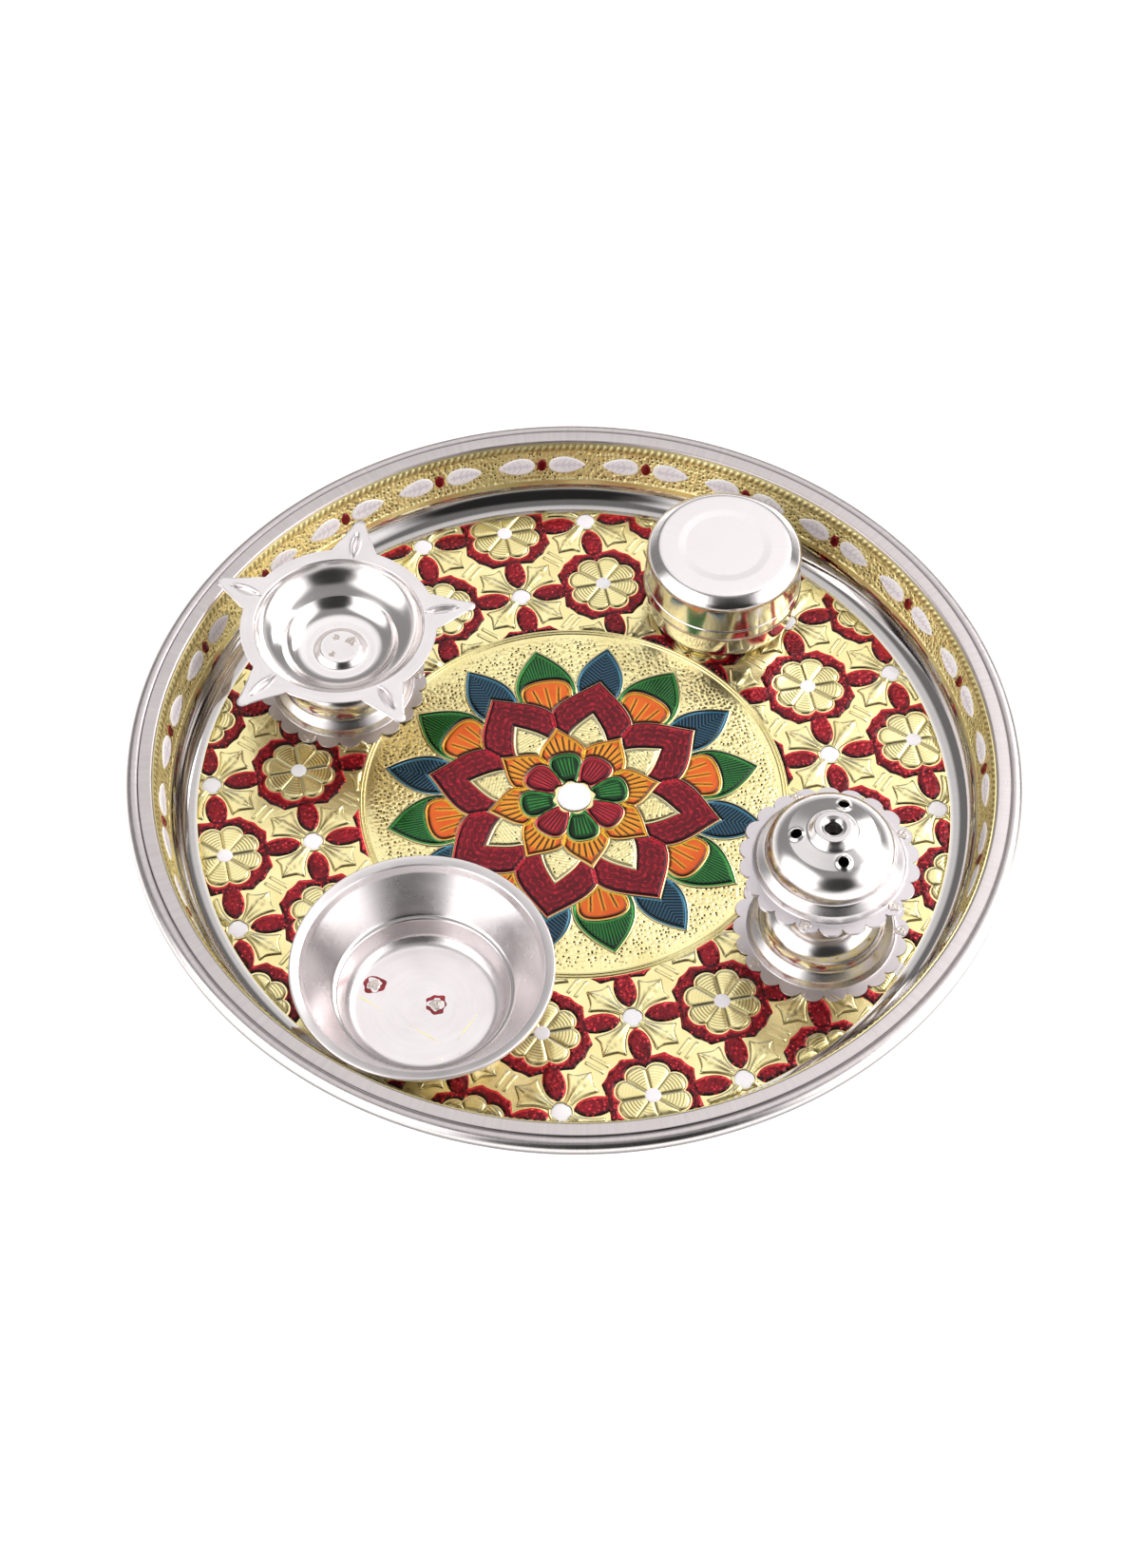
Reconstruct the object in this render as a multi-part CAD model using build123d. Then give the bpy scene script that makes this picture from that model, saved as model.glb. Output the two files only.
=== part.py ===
from build123d import *
import math
import os

# A puja thali: a spun steel plate lined with embossed gilt foil and coloured lacquer, with a bowl, a lidded
# box, a five-wick lamp and an incense stand spot-welded to it. Millimetres, +Z up, origin under the centre.

# Layers
plate_sheet = 0.6
vessel_sheet = 0.5
foil_sheet = 0.3
lacquer_sheet = 0.15

# Plate: flat floor, cove, leaning wall, flat lip and a rolled edge
plate_radius = 140.0
plate_height = 23.05
bead_radius = 2.75
bead_turn = 225.0
lip_width = 5.9
lip_bend_radius = 0.9
wall_lean = 14.7
cove_radius = 7.7
foil_edge_gap = 0.25

# Medallion in the middle of the floor, as rings of petals from the inside out, their tips as shares of its radius
petal_count = 8
medallion_radius = 68.0
seam = 0.7
centre_disc_radius = 5.4
inner_petal_foot = 6.1
inner_petal_tip_share = 0.256
inner_petal_width = 9.0
orange_petal_foot = 8.5
orange_petal_tip_share = 0.418
orange_petal_width = 13.2
gold_petal_foot = 12.0
gold_petal_tip_share = 0.503
gold_petal_width = 13.5
maroon_petal_foot = 14.0
maroon_petal_tip_share = 0.697
maroon_petal_width = 25.4
fan_foot = 26.0
fan_tip_share = 0.704
fan_width = 17.6
green_leaf_foot = 30.0
green_leaf_tip_share = 0.887
green_leaf_width = 20.4
blue_leaf_foot = 34.0
blue_leaf_tip_share = 0.906
blue_leaf_width = 17.0

# One side of a petal as a cubic curve: each pair is a share of the petal's length and of its half width
round_petal_shares = ((0.0, 0.34), (0.36, 1.02), (1.0, 1.46), (1.0, 0.0))
ogee_petal_shares = ((0.0, 0.5), (0.42, 2.0), (0.66, 0.5), (1.0, 0.0))
gold_petal_shares = ((0.0, 0.7), (0.48, 1.5), (0.72, 0.7), (1.0, 0.0))
maroon_petal_shares = ((0.0, 0.3), (0.52, 2.1), (0.72, 0.52), (1.0, 0.0))
fan_shares = ((0.0, 0.05), (0.4, 0.75), (1.0, 1.85), (1.0, 0.0))
leaf_shares = ((0.0, 0.3), (0.42, 1.6), (0.74, 0.85), (1.0, 0.0))

# Flower lattice round the medallion: flowers and dots take turns on a square grid
cell = 27.92
flower_dot_radius = 2.5
joint_dot_radius = 3.1
flower_radius = 11.2
flower_dent_share = 0.88
frame_radius = 15.4
frame_flat_share = 0.86
bud_count = 4
bud_width = 6.4
bud_belly_share = 0.62
least_patch_width = 2.0

# Border on the wall: a red oval between two white leaves, again and again
motif_count = 23
first_motif_bearing = 82.8
border_dot_width = 3.2
border_dot_height = 4.6
border_leaf_length = 12.4
border_leaf_height = 6.6
border_leaf_gap = 0.8

# Scalloped hat pressing, used as the lamp's foot and three times in the incense stand
hat_height = 18.05
boss_radius = 5.74
boss_rise = 2.6
boss_flare = 1.8
plateau_radius = 13.2
plateau_height = 13.9
ring_radius = 22.15
ring_height = 2.9
ring_flare = 0.7
dome_bulge_share = 0.16
flange_radius = 27.0
scallop_depth = 2.2
scallop_count = 22

# Incense stand: foot, upturned dish and pierced cap, all from the same pressing
incense_bearing = -45.1
incense_edge_gap = 1.7
dish_turn = 3.0
cap_turn = 2.3
foot_turn = 12.0
stick_hole_radius = 2.4
side_hole_radius = 1.6
side_hole_ring = 10.9
side_hole_bearings = (58.0, 171.0, 272.0)

# Lamp: bowl with a stepped wall and a flat flange drawn out into five spouts
lamp_bearing = 136.6
lamp_edge_gap = 4.4
lamp_floor_drop = 1.55
lamp_seat_radius = 6.5
lamp_seat_flare = 2.0
lamp_floor_radius = 11.8
lamp_step_radius = 18.6
lamp_step_height = 4.3
lamp_ledge_width = 1.1
lamp_ledge_rise = 0.5
lamp_bowl_radius = 27.0
lamp_bowl_depth = 12.6
lamp_wall_bulge_share = 0.12
lamp_flange_radius = 31.2
spout_count = 5
spout_turn = -1.0
spout_reach = 12.1
spout_width = 13.6
spout_tip_width = 2.6
spout_waist_shares = ((0.22, 0.72), (0.5, 0.42))
groove_length = 10.4
groove_width = 2.6
groove_start_share = 0.02

# Bowl: flat floor, stepped wall, flared side and a turned lip
katori_bearing = -132.1
katori_wall_gap = 1.0
katori_lip_radius = 39.7
katori_lip_width = 1.8
katori_lip_drop = 1.3
katori_height = 23.4
katori_brow_drop = 2.6
katori_brow_width = 0.9
katori_floor_radius = 23.0
katori_floor_corner = 2.2
katori_step_radius = 26.1
katori_step_height = 8.4
katori_ledge_width = 1.5
katori_ledge_rise = 0.4

# Lidded box: round cup with a deep lid that lifts straight off
box_bearing = 46.4
box_edge_gap = 0.7
box_radius = 24.5
lid_headroom = 2.6
box_corner = 3.0
corner_bulge_share = 0.2
lid_clearance = 0.25
lid_top_height = 30.1
lid_foot_height = 11.8
lid_band_height = 5.0
lid_band_step = 0.35
lid_top_radius = 21.4
lid_shoulder_drop = 2.7
lid_recess_radius = 13.4
lid_recess_depth = 0.4
lid_recess_slope = 1.6

# Spot welds
weld_radius = 1.7
weld_height = 0.18
weld_brow_share = 0.75
katori_weld_shares = ((-0.587, 0.457), (0.157, -0.013))
box_weld_ring = 11.0
box_weld_count = 2
lamp_weld_ring = 4.0
lamp_weld_count = 3
lamp_weld_turn = 100.0
flange_weld_inset = 2.4
cap_weld_bearings = (-122.0, -54.0, 11.0, 99.0)
incense_foot_weld_bearings = (-160.0, -15.0, 105.0)
lamp_foot_weld_bearings = (-125.0, -5.0, 115.0)

# Angles and an overrun for cuts
full_turn = 360.0
half_turn = 180.0
quarter_turn = 90.0
half_share = 0.5
overrun = 1.0

# Sizes that follow from the ones above
seat_height = plate_sheet + foil_sheet + lacquer_sheet
lean = math.radians(wall_lean)
bend_share = math.tan((math.pi / 2 - lean) / 2)
bead_axis_radius = plate_radius - bead_radius
wall_top_radius = bead_axis_radius - lip_width
wall_foot_radius = wall_top_radius - (plate_height - plate_sheet) * math.tan(lean)
wall_length = (plate_height - plate_sheet) / math.cos(lean)
floor_radius = wall_foot_radius - cove_radius * bend_share
foil_radius = floor_radius - foil_edge_gap
wall_foil_start = cove_radius * bend_share + foil_edge_gap
wall_foil_end = wall_length - lip_bend_radius * bend_share - foil_edge_gap
inner_petal_tip = medallion_radius * inner_petal_tip_share
orange_petal_tip = medallion_radius * orange_petal_tip_share
gold_petal_tip = medallion_radius * gold_petal_tip_share
maroon_petal_tip = medallion_radius * maroon_petal_tip_share
fan_tip = medallion_radius * fan_tip_share
green_leaf_tip = medallion_radius * green_leaf_tip_share
blue_leaf_tip = medallion_radius * blue_leaf_tip_share
box_height = lid_top_height - lid_recess_depth - vessel_sheet - lid_headroom
lid_radius = box_radius + lid_clearance + vessel_sheet
lid_band_radius = lid_radius + lid_band_step
scallop_root_radius = flange_radius - scallop_depth
stack_height = hat_height + hat_height
punch_length = boss_rise + boss_rise
broad_cut_radius = plate_radius

os.makedirs("parts", exist_ok=True)


def polar(radius, bearing):
    angle = math.radians(bearing)
    return (radius * math.cos(angle), radius * math.sin(angle))


def turned(shape, angle):
    return Rot(0, 0, angle) * shape


def spun(section):
    return revolve(Plane.XZ * section, Axis.Z)


def joined(start, end, share):
    """A straight line, or an arc that stands out to the left by a share of its chord."""
    if share == 0:
        return Line(start, end)
    return SagittaArc(start, end, share * math.dist(start, end))


def headings(start, end, share):
    """The direction in which such a line leaves its start and reaches its end, in radians."""
    chord = math.atan2(end[1] - start[1], end[0] - start[0])
    turn = 2 * math.atan(2 * share)
    return (chord + turn, chord - turn)


def underside(points, shares, sheet):
    """The points of a sheet's lower face, mitred where the upper face has a corner."""
    ways = [headings(*pair, share) for *pair, share in zip(points, points[1:], shares)]
    arrive = [ways[0][0]] + [way[1] for way in ways]
    leave = [way[0] for way in ways] + [ways[-1][1]]
    lower = []
    for (x, z), before, after in zip(points, arrive, leave):
        middle = (before + after) / 2
        depth = sheet / math.cos((after - before) / 2)
        lower.append((x + depth * math.sin(middle), z - depth * math.cos(middle)))
    return lower


def sheet_metal(points, shares, sheet):
    """A pressed sheet of revolution, from the points of its upper face, drawn from the axis outwards."""
    lower = underside(points, shares, sheet)
    edges = Line(points[0], lower[0]).edges() + Line(points[-1], lower[-1]).edges()
    for line in (points, lower):
        for start, end, share in zip(line, line[1:], shares):
            edges += joined(start, end, share).edges()
    return spun(make_face(edges))


def placed(shape, reach, bearing):
    x, y = polar(reach, bearing)
    return Pos(x, y, seat_height) * shape


def gathered(pieces):
    """Separate pieces of one layer as a single node."""
    return Compound(children=[solid for piece in pieces for solid in piece.solids()])


# Plate


def wall_point(along, lift):
    """A point beside the wall's straight stretch, lifted off it towards the axis."""
    radius = wall_foot_radius + along * math.sin(lean) - lift * math.cos(lean)
    height = plate_sheet + along * math.cos(lean) + lift * math.sin(lean)
    return (radius, height)


def arc_share(turn):
    """The height of an arc over its chord, for an arc that turns by so many degrees."""
    return math.tan(math.radians(turn) / 4) / 2


def plate():
    """Floor, cove, wall, bend, lip and the two halves of the rolled edge, along the upper face."""
    bend = arc_share(quarter_turn - wall_lean)
    roll = arc_share(bead_turn / 2)
    bead_axis_height = plate_height - bead_radius
    points = [(0, plate_sheet), (floor_radius, plate_sheet)]
    points.append(wall_point(cove_radius * bend_share, 0))
    points.append(wall_point(wall_length - lip_bend_radius * bend_share, 0))
    points += [(wall_top_radius + lip_bend_radius * bend_share, plate_height), (bead_axis_radius, plate_height)]
    for part_share in (half_share, 1):
        x, z = polar(bead_radius, quarter_turn - bead_turn * part_share)
        points.append((bead_axis_radius + x, bead_axis_height + z))
    return sheet_metal(points, (0, -bend, 0, bend, 0, roll, roll), plate_sheet)


# Foil


def floor_foil():
    return Pos(0, 0, plate_sheet) * extrude(Circle(foil_radius), foil_sheet)


def wall_layer(low, high):
    """A layer that lines the wall between two lifts off the steel."""
    corners = [wall_point(wall_foil_start, low), wall_point(wall_foil_end, low)]
    corners += [wall_point(wall_foil_end, high), wall_point(wall_foil_start, high)]
    return spun(make_face(Polyline(*corners, close=True)))


# Lacquer of the medallion


def petal(foot, tip, width, shares, grow=0.0):
    """A petal along +X: two mirrored cubic sides that meet at the tip and are closed across the foot."""
    length = tip + grow - foot
    half = width / 2 + grow
    points = [(foot + along * length, out * half) for along, out in shares]
    side = Bezier(*points)
    other = Bezier(*[(x, -y) for x, y in points])
    base = Line(points[0], (foot, -points[0][1]))
    return make_face(side.edges() + other.edges() + base.edges())


def ring_of(shape, count, start):
    ring = Sketch()
    for k in range(count):
        ring += turned(shape, start + full_turn * k / count)
    return ring


half_step = half_turn / petal_count
petal_step = full_turn / petal_count


def inner_ring(grow=0.0):
    shape = petal(inner_petal_foot, inner_petal_tip, inner_petal_width, round_petal_shares, grow)
    return ring_of(shape, petal_count, 0)


def orange_ring(grow=0.0):
    shape = petal(orange_petal_foot, orange_petal_tip, orange_petal_width, ogee_petal_shares, grow)
    return ring_of(shape, petal_count, 0)


def gold_ring(grow=0.0):
    shape = petal(gold_petal_foot, gold_petal_tip, gold_petal_width, gold_petal_shares, grow)
    return ring_of(shape, petal_count, half_step)


def maroon_ring(grow=0.0):
    shape = petal(maroon_petal_foot, maroon_petal_tip, maroon_petal_width, maroon_petal_shares, grow)
    return ring_of(shape, petal_count, half_step)


def fan_ring(grow=0.0):
    return ring_of(petal(fan_foot, fan_tip, fan_width, fan_shares, grow), petal_count, 0)


def green_ring(grow=0.0):
    shape = petal(green_leaf_foot, green_leaf_tip, green_leaf_width, leaf_shares, grow)
    return ring_of(shape, petal_count, 0)


def blue_ring(grow=0.0):
    shape = petal(blue_leaf_foot, blue_leaf_tip, blue_leaf_width, leaf_shares, grow)
    return ring_of(shape, petal_count, half_step)


def spokes(start):
    """Seams that keep the petals of one ring apart."""
    bar = Pos(medallion_radius / 2, 0) * Rectangle(medallion_radius, seam)
    return ring_of(bar, petal_count, start)


def lacquered(sketch):
    """The patches of a sketch that are large enough to fill, as a layer of lacquer on the floor foil."""
    faces = [face for face in sketch.faces() if face.area > least_patch_width**2]
    on_foil = Pos(0, 0, plate_sheet + foil_sheet)
    return gathered([on_foil * extrude(face, lacquer_sheet) for face in faces])


def medallion():
    """Each ring of petals, cut back by a seam from the rings that lie over it."""
    inner = petal(inner_petal_foot, inner_petal_tip, inner_petal_width, round_petal_shares)
    pairs = petal_count // 2
    centre = Circle(centre_disc_radius)
    over = Circle(centre_disc_radius + seam) + inner_ring(seam)
    layers = {"medallion_centre": centre}
    layers["inner_petals_green"] = ring_of(inner, pairs, 0)
    layers["inner_petals_red"] = ring_of(inner, pairs, petal_step)
    layers["orange_petals"] = orange_ring() - over - spokes(half_step)
    over += orange_ring(seam)
    over += gold_ring(seam)
    layers["maroon_petals"] = maroon_ring() - over - spokes(0)
    over += maroon_ring(seam)
    layers["orange_fans"] = fan_ring() - over
    over += fan_ring(seam)
    layers["green_leaves"] = green_ring() - over
    over += green_ring(seam)
    layers["blue_leaves"] = blue_ring() - over
    return layers


# Lacquer of the flower lattice


def lattice_sites(parity):
    reach = math.ceil(foil_radius / cell)
    steps = range(-reach, reach + 1)
    return [(i * cell, j * cell) for i in steps for j in steps if (i + j) % 2 == parity]


def bud():
    """A bud along +X, from inside the frame to the seam round the next dot."""
    foot = frame_radius * frame_flat_share - overrun
    tip = cell - joint_dot_radius - seam
    belly = foot + bud_belly_share * (tip - foot)
    side = ThreePointArc((foot, 0), (belly, bud_width / 2), (tip, 0))
    other = ThreePointArc((foot, 0), (belly, -bud_width / 2), (tip, 0))
    return make_face(side.edges() + other.edges())


def eight_point(radius, dent_share):
    """An eight-pointed outline whose sides are dented in by a share of the radius."""
    count = 2 * petal_count
    points = [polar(radius * (dent_share if k % 2 else 1), full_turn * k / count) for k in range(count)]
    return make_face(Polyline(*points, close=True))


def flower_frame():
    frame = turned(eight_point(frame_radius, frame_flat_share), half_step) + ring_of(bud(), bud_count, 0)
    return frame - turned(eight_point(flower_radius + seam, flower_dent_share), half_step)


def at_sites(shape, sites):
    copies = Sketch()
    for x, y in sites:
        copies += Pos(x, y) * shape
    return copies


def lattice():
    field = Circle(foil_radius) - Circle(medallion_radius)
    flowers = lattice_sites(0)
    joints = lattice_sites(1)
    dots = at_sites(Circle(joint_dot_radius), joints) + at_sites(Circle(flower_dot_radius), flowers)
    return {"lattice_red": at_sites(flower_frame(), flowers) & field, "lattice_dots": dots & field}


# Lacquer of the wall border


def border_leaf():
    """A pointed leaf along +X, clear of the oval beside it."""
    start = border_dot_width / 2 + border_leaf_gap
    middle = start + border_leaf_length / 2
    end = start + border_leaf_length
    upper = ThreePointArc((start, 0), (middle, border_leaf_height / 2), (end, 0))
    lower = ThreePointArc((start, 0), (middle, -border_leaf_height / 2), (end, 0))
    return make_face(upper.edges() + lower.edges())


def round_the_wall(motif):
    """A motif drawn on an upright plane, laid round the wall as many times as the border has motifs."""
    middle = (wall_foil_start + wall_foil_end) / 2
    radius, height = wall_point(middle, 0)
    upright = Plane(origin=(0, 0, height), x_dir=(0, 1, 0), z_dir=(1, 0, 0))
    block = extrude(upright.offset(radius - cove_radius) * motif, cove_radius + cove_radius)
    layer = wall_layer(foil_sheet, foil_sheet + lacquer_sheet)
    one = (block & layer).solids()
    bearings = [first_motif_bearing + full_turn * k / motif_count for k in range(motif_count)]
    return gathered([turned(solid, bearing) for bearing in bearings for solid in one])


def border():
    leaf = border_leaf()
    leaves = leaf + mirror(leaf, about=Plane.YZ)
    oval = Ellipse(border_dot_width / 2, border_dot_height / 2)
    return {"border_leaves": round_the_wall(leaves), "border_ovals": round_the_wall(oval)}


# Scalloped hat pressing


def scalloped_disc():
    pitch = full_turn / scallop_count
    arcs = []
    for k in range(scallop_count):
        start = polar(scallop_root_radius, pitch * k)
        crest = polar(flange_radius, pitch * (k + half_share))
        end = polar(scallop_root_radius, pitch * (k + 1))
        arcs += ThreePointArc(start, crest, end).edges()
    return make_face(arcs)


def hat():
    """The pressing with its flange down: scalloped flange, ring, dome, plateau and boss."""
    boss_edge = (boss_radius, hat_height)
    boss_foot = (boss_radius + boss_flare, hat_height - boss_rise)
    plateau_edge = (plateau_radius, plateau_height)
    ring_edge = (ring_radius, ring_height)
    ring_foot = (ring_radius + ring_flare, vessel_sheet)
    flange_edge = (scallop_root_radius - ring_flare, vessel_sheet)
    points = [(0, hat_height), boss_edge, boss_foot, plateau_edge, ring_edge, ring_foot, flange_edge]
    shell = sheet_metal(points, (0, 0, 0, dome_bulge_share, 0, 0), vessel_sheet)
    flange = extrude(scalloped_disc() - Circle(ring_radius + ring_flare), vessel_sheet)
    return shell + flange


def incense_stand():
    foot = turned(hat(), foot_turn)
    dish = Pos(0, 0, stack_height) * Rot(half_turn, 0, dish_turn) * hat()
    cap = Pos(0, 0, stack_height) * pierced_hat()
    return {"incense_foot": foot, "incense_dish": dish, "incense_cap": cap}


def pierced_hat():
    """A hat with a stick hole through its boss and three holes round its plateau."""
    cap = turned(hat(), cap_turn) - Pos(0, 0, hat_height) * Cylinder(stick_hole_radius, punch_length)
    punch = Cylinder(side_hole_radius, punch_length)
    for bearing in side_hole_bearings:
        x, y = polar(side_hole_ring, bearing)
        cap -= Pos(x, y, plateau_height) * punch
    return cap


incense_reach = foil_radius - flange_radius - incense_edge_gap


# Lamp


lamp_reach = foil_radius - flange_radius - lamp_edge_gap
lamp_seat_top = hat_height + vessel_sheet
lamp_floor_height = lamp_seat_top - lamp_floor_drop
lamp_rim_height = lamp_floor_height + lamp_bowl_depth


def lamp_bowl_shell():
    seat_edge = (lamp_seat_radius, lamp_seat_top)
    seat_foot = (lamp_seat_radius + lamp_seat_flare, lamp_floor_height)
    floor_edge = (lamp_floor_radius, lamp_floor_height)
    step = (lamp_step_radius, lamp_floor_height + lamp_step_height)
    ledge = (lamp_step_radius + lamp_ledge_width, step[1] + lamp_ledge_rise)
    rim = (lamp_bowl_radius, lamp_rim_height)
    brim = (lamp_flange_radius - overrun, lamp_rim_height)
    points = [(0, lamp_seat_top), seat_edge, seat_foot, floor_edge, step, ledge, rim, brim]
    shares = (0, 0, 0, -lamp_wall_bulge_share, 0, -lamp_wall_bulge_share, 0)
    return sheet_metal(points, shares, vessel_sheet)


def spout_outline():
    """A spout along +X: concave sides drawn out of the flange to a blunt tip."""
    foot = math.sqrt(lamp_flange_radius**2 - (spout_width / 2) ** 2)
    tip = lamp_flange_radius + spout_reach
    blunt = tip - spout_tip_width / 2
    near, far = [(foot + along * (blunt - foot), out * spout_width / 2) for along, out in spout_waist_shares]
    points = [(foot, spout_width / 2), near, far, (blunt, spout_tip_width / 2)]
    side = Bezier(*points)
    other = Bezier(*[(x, -y) for x, y in points])
    nose = ThreePointArc(points[-1], (tip, 0), (blunt, -spout_tip_width / 2))
    base = Line(points[0], (foot, -spout_width / 2))
    return make_face(side.edges() + other.edges() + nose.edges() + base.edges())


def groove(width):
    """A spindle along +X, the tool that presses a spout's groove."""
    start = lamp_bowl_radius + vessel_sheet + groove_start_share * groove_length
    end = start + groove_length
    arc = ThreePointArc((start, 0), ((start + end) / 2, width / 2), (end, 0))
    return revolve(make_face(arc.edges() + Line((start, 0), (end, 0)).edges()), Axis.X)


def lamp_bowl():
    outline = Circle(lamp_flange_radius) + ring_of(spout_outline(), spout_count, 0)
    flange = extrude(outline - Circle(lamp_bowl_radius + vessel_sheet), vessel_sheet)
    flange = Pos(0, 0, lamp_rim_height - vessel_sheet) * flange
    bowl = lamp_bowl_shell() + flange
    cut_depth = groove_width + groove_width
    above = Pos(0, 0, lamp_rim_height + groove_width) * Cylinder(broad_cut_radius, cut_depth)
    trough = Pos(0, 0, lamp_rim_height) * groove(groove_width + vessel_sheet + vessel_sheet) - above
    hollow = Pos(0, 0, lamp_rim_height) * groove(groove_width)
    for k in range(spout_count):
        angle = full_turn * k / spout_count
        bowl += turned(trough, angle)
        bowl -= turned(hollow, angle)
    return turned(bowl, spout_turn)


# Bowl


katori_reach = wall_top_radius - katori_lip_radius - katori_wall_gap


def katori():
    corner_foot = (katori_floor_radius - katori_floor_corner, vessel_sheet)
    corner_top = (katori_floor_radius, vessel_sheet + katori_floor_corner)
    step = (katori_step_radius, katori_step_height)
    ledge = (katori_step_radius + katori_ledge_width, katori_step_height + katori_ledge_rise)
    lip_edge = katori_lip_radius - katori_lip_width
    brow = (lip_edge - katori_brow_width, katori_height - katori_brow_drop)
    lip = [(lip_edge, katori_height), (katori_lip_radius, katori_height)]
    skirt = (katori_lip_radius, katori_height - katori_lip_drop)
    points = [(0, vessel_sheet), corner_foot, corner_top, step, ledge, brow, *lip, skirt]
    return sheet_metal(points, (0,) * (len(points) - 1), vessel_sheet)


# Box and lid


box_reach = foil_radius - lid_band_radius - box_edge_gap


def box_body():
    inside = box_radius - vessel_sheet
    corner_foot = (inside - box_corner, vessel_sheet)
    corner_top = (inside, vessel_sheet + box_corner)
    points = [(0, vessel_sheet), corner_foot, corner_top, (inside, box_height)]
    return sheet_metal(points, (0, -corner_bulge_share, 0), vessel_sheet)


def box_lid():
    recess = (lid_recess_radius, lid_top_height - lid_recess_depth)
    recess_edge = (lid_recess_radius + lid_recess_slope, lid_top_height)
    top_edge = (lid_top_radius, lid_top_height)
    shoulder = (lid_radius, lid_top_height - lid_shoulder_drop)
    band_top = lid_foot_height + lid_band_height
    skirt = [(lid_radius, band_top), (lid_band_radius, band_top - lid_band_step)]
    foot = (lid_band_radius, lid_foot_height)
    points = [(0, recess[1]), recess, recess_edge, top_edge, shoulder, *skirt, foot]
    return sheet_metal(points, (0, 0, 0, corner_bulge_share, 0, 0, 0), vessel_sheet)


# Spot welds


def weld_button():
    """A shallow dome left where two sheets are welded."""
    brow = (weld_radius * half_share, weld_height * weld_brow_share)
    arc = ThreePointArc((0, weld_height), brow, (weld_radius, 0))
    section = arc.edges() + Polyline((weld_radius, 0), (0, 0), (0, weld_height)).edges()
    return spun(make_face(section))


def welds(places, height, reach, bearing):
    """Weld buttons at places round a vessel's axis, on a face of the vessel."""
    return gathered([placed(Pos(x, y, height) * weld_button(), reach, bearing) for x, y in places])


def circle_places(radius, count, start):
    return [polar(radius, start + full_turn * k / count) for k in range(count)]


def flange_places(bearings):
    return [polar(flange_radius - flange_weld_inset, bearing) for bearing in bearings]


def all_welds():
    katori_places = [(x * katori_floor_radius, y * katori_floor_radius) for x, y in katori_weld_shares]
    lamp = (lamp_reach, lamp_bearing)
    incense = (incense_reach, incense_bearing)
    box_places = circle_places(box_weld_ring, box_weld_count, 0)
    seat_places = circle_places(lamp_weld_ring, lamp_weld_count, lamp_weld_turn)
    cap_height = stack_height + vessel_sheet
    return {
        "katori_welds": welds(katori_places, vessel_sheet, katori_reach, katori_bearing),
        "box_welds": welds(box_places, vessel_sheet, box_reach, box_bearing),
        "lamp_bowl_welds": welds(seat_places, lamp_seat_top, *lamp),
        "lamp_foot_welds": welds(flange_places(lamp_foot_weld_bearings), vessel_sheet, *lamp),
        "incense_foot_welds": welds(flange_places(incense_foot_weld_bearings), vessel_sheet, *incense),
        "incense_cap_welds": welds(flange_places(cap_weld_bearings), cap_height, *incense),
    }


def build():
    nodes = {"thali_plate": plate(), "floor_foil": floor_foil(), "wall_foil": wall_layer(0, foil_sheet)}
    for name, sketch in {**medallion(), **lattice()}.items():
        nodes[name] = lacquered(sketch)
    nodes.update(border())
    nodes["katori"] = placed(katori(), katori_reach, katori_bearing)
    nodes["box_body"] = placed(box_body(), box_reach, box_bearing)
    nodes["box_lid"] = placed(box_lid(), box_reach, box_bearing)
    nodes["lamp_foot"] = placed(turned(hat(), foot_turn), lamp_reach, lamp_bearing)
    nodes["lamp_bowl"] = placed(lamp_bowl(), lamp_reach, lamp_bearing)
    for name, piece in incense_stand().items():
        nodes[name] = placed(piece, incense_reach, incense_bearing)
    nodes.update(all_welds())
    return nodes


for node, shape in build().items():
    export_step(shape, f"parts/{node}.step")
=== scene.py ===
import bmesh
import bpy
import numpy as np
from mathutils import Matrix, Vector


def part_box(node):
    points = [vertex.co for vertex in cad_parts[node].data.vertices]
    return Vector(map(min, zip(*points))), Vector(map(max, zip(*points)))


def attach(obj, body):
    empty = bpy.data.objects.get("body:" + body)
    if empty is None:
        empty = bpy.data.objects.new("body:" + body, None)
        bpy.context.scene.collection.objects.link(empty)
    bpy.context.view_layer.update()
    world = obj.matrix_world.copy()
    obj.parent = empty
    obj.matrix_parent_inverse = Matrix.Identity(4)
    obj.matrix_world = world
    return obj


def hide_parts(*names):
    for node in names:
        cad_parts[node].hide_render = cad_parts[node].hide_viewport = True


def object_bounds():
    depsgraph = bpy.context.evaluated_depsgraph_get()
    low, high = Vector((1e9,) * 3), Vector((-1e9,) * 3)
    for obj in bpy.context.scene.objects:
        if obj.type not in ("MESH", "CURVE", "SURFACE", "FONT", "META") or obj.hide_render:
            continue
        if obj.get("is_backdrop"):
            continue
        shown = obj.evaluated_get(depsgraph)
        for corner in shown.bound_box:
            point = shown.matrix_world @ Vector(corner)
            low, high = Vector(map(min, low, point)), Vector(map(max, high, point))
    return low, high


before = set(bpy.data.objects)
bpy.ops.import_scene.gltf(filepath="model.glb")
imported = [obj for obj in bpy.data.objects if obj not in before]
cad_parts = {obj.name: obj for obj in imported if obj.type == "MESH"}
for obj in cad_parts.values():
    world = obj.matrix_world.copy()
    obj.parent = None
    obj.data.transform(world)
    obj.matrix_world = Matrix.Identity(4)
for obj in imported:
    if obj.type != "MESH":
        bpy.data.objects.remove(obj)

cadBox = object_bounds()
scene = bpy.context.scene
mm = 0.001  # sizes below are in millimetres, meshes in metres
tau = 2 * np.pi

# Mesh helpers


# Corner numbers of a grid's quads: each corner, the next row's, the one diagonally on and the next column's.
def gridFaces(rows, cols):
    first = np.arange(rows - 1)[:, None] * cols + np.arange(cols - 1)
    return np.stack([first, first + cols, first + cols + 1, first + 1], -1).reshape(-1, 4)


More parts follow.
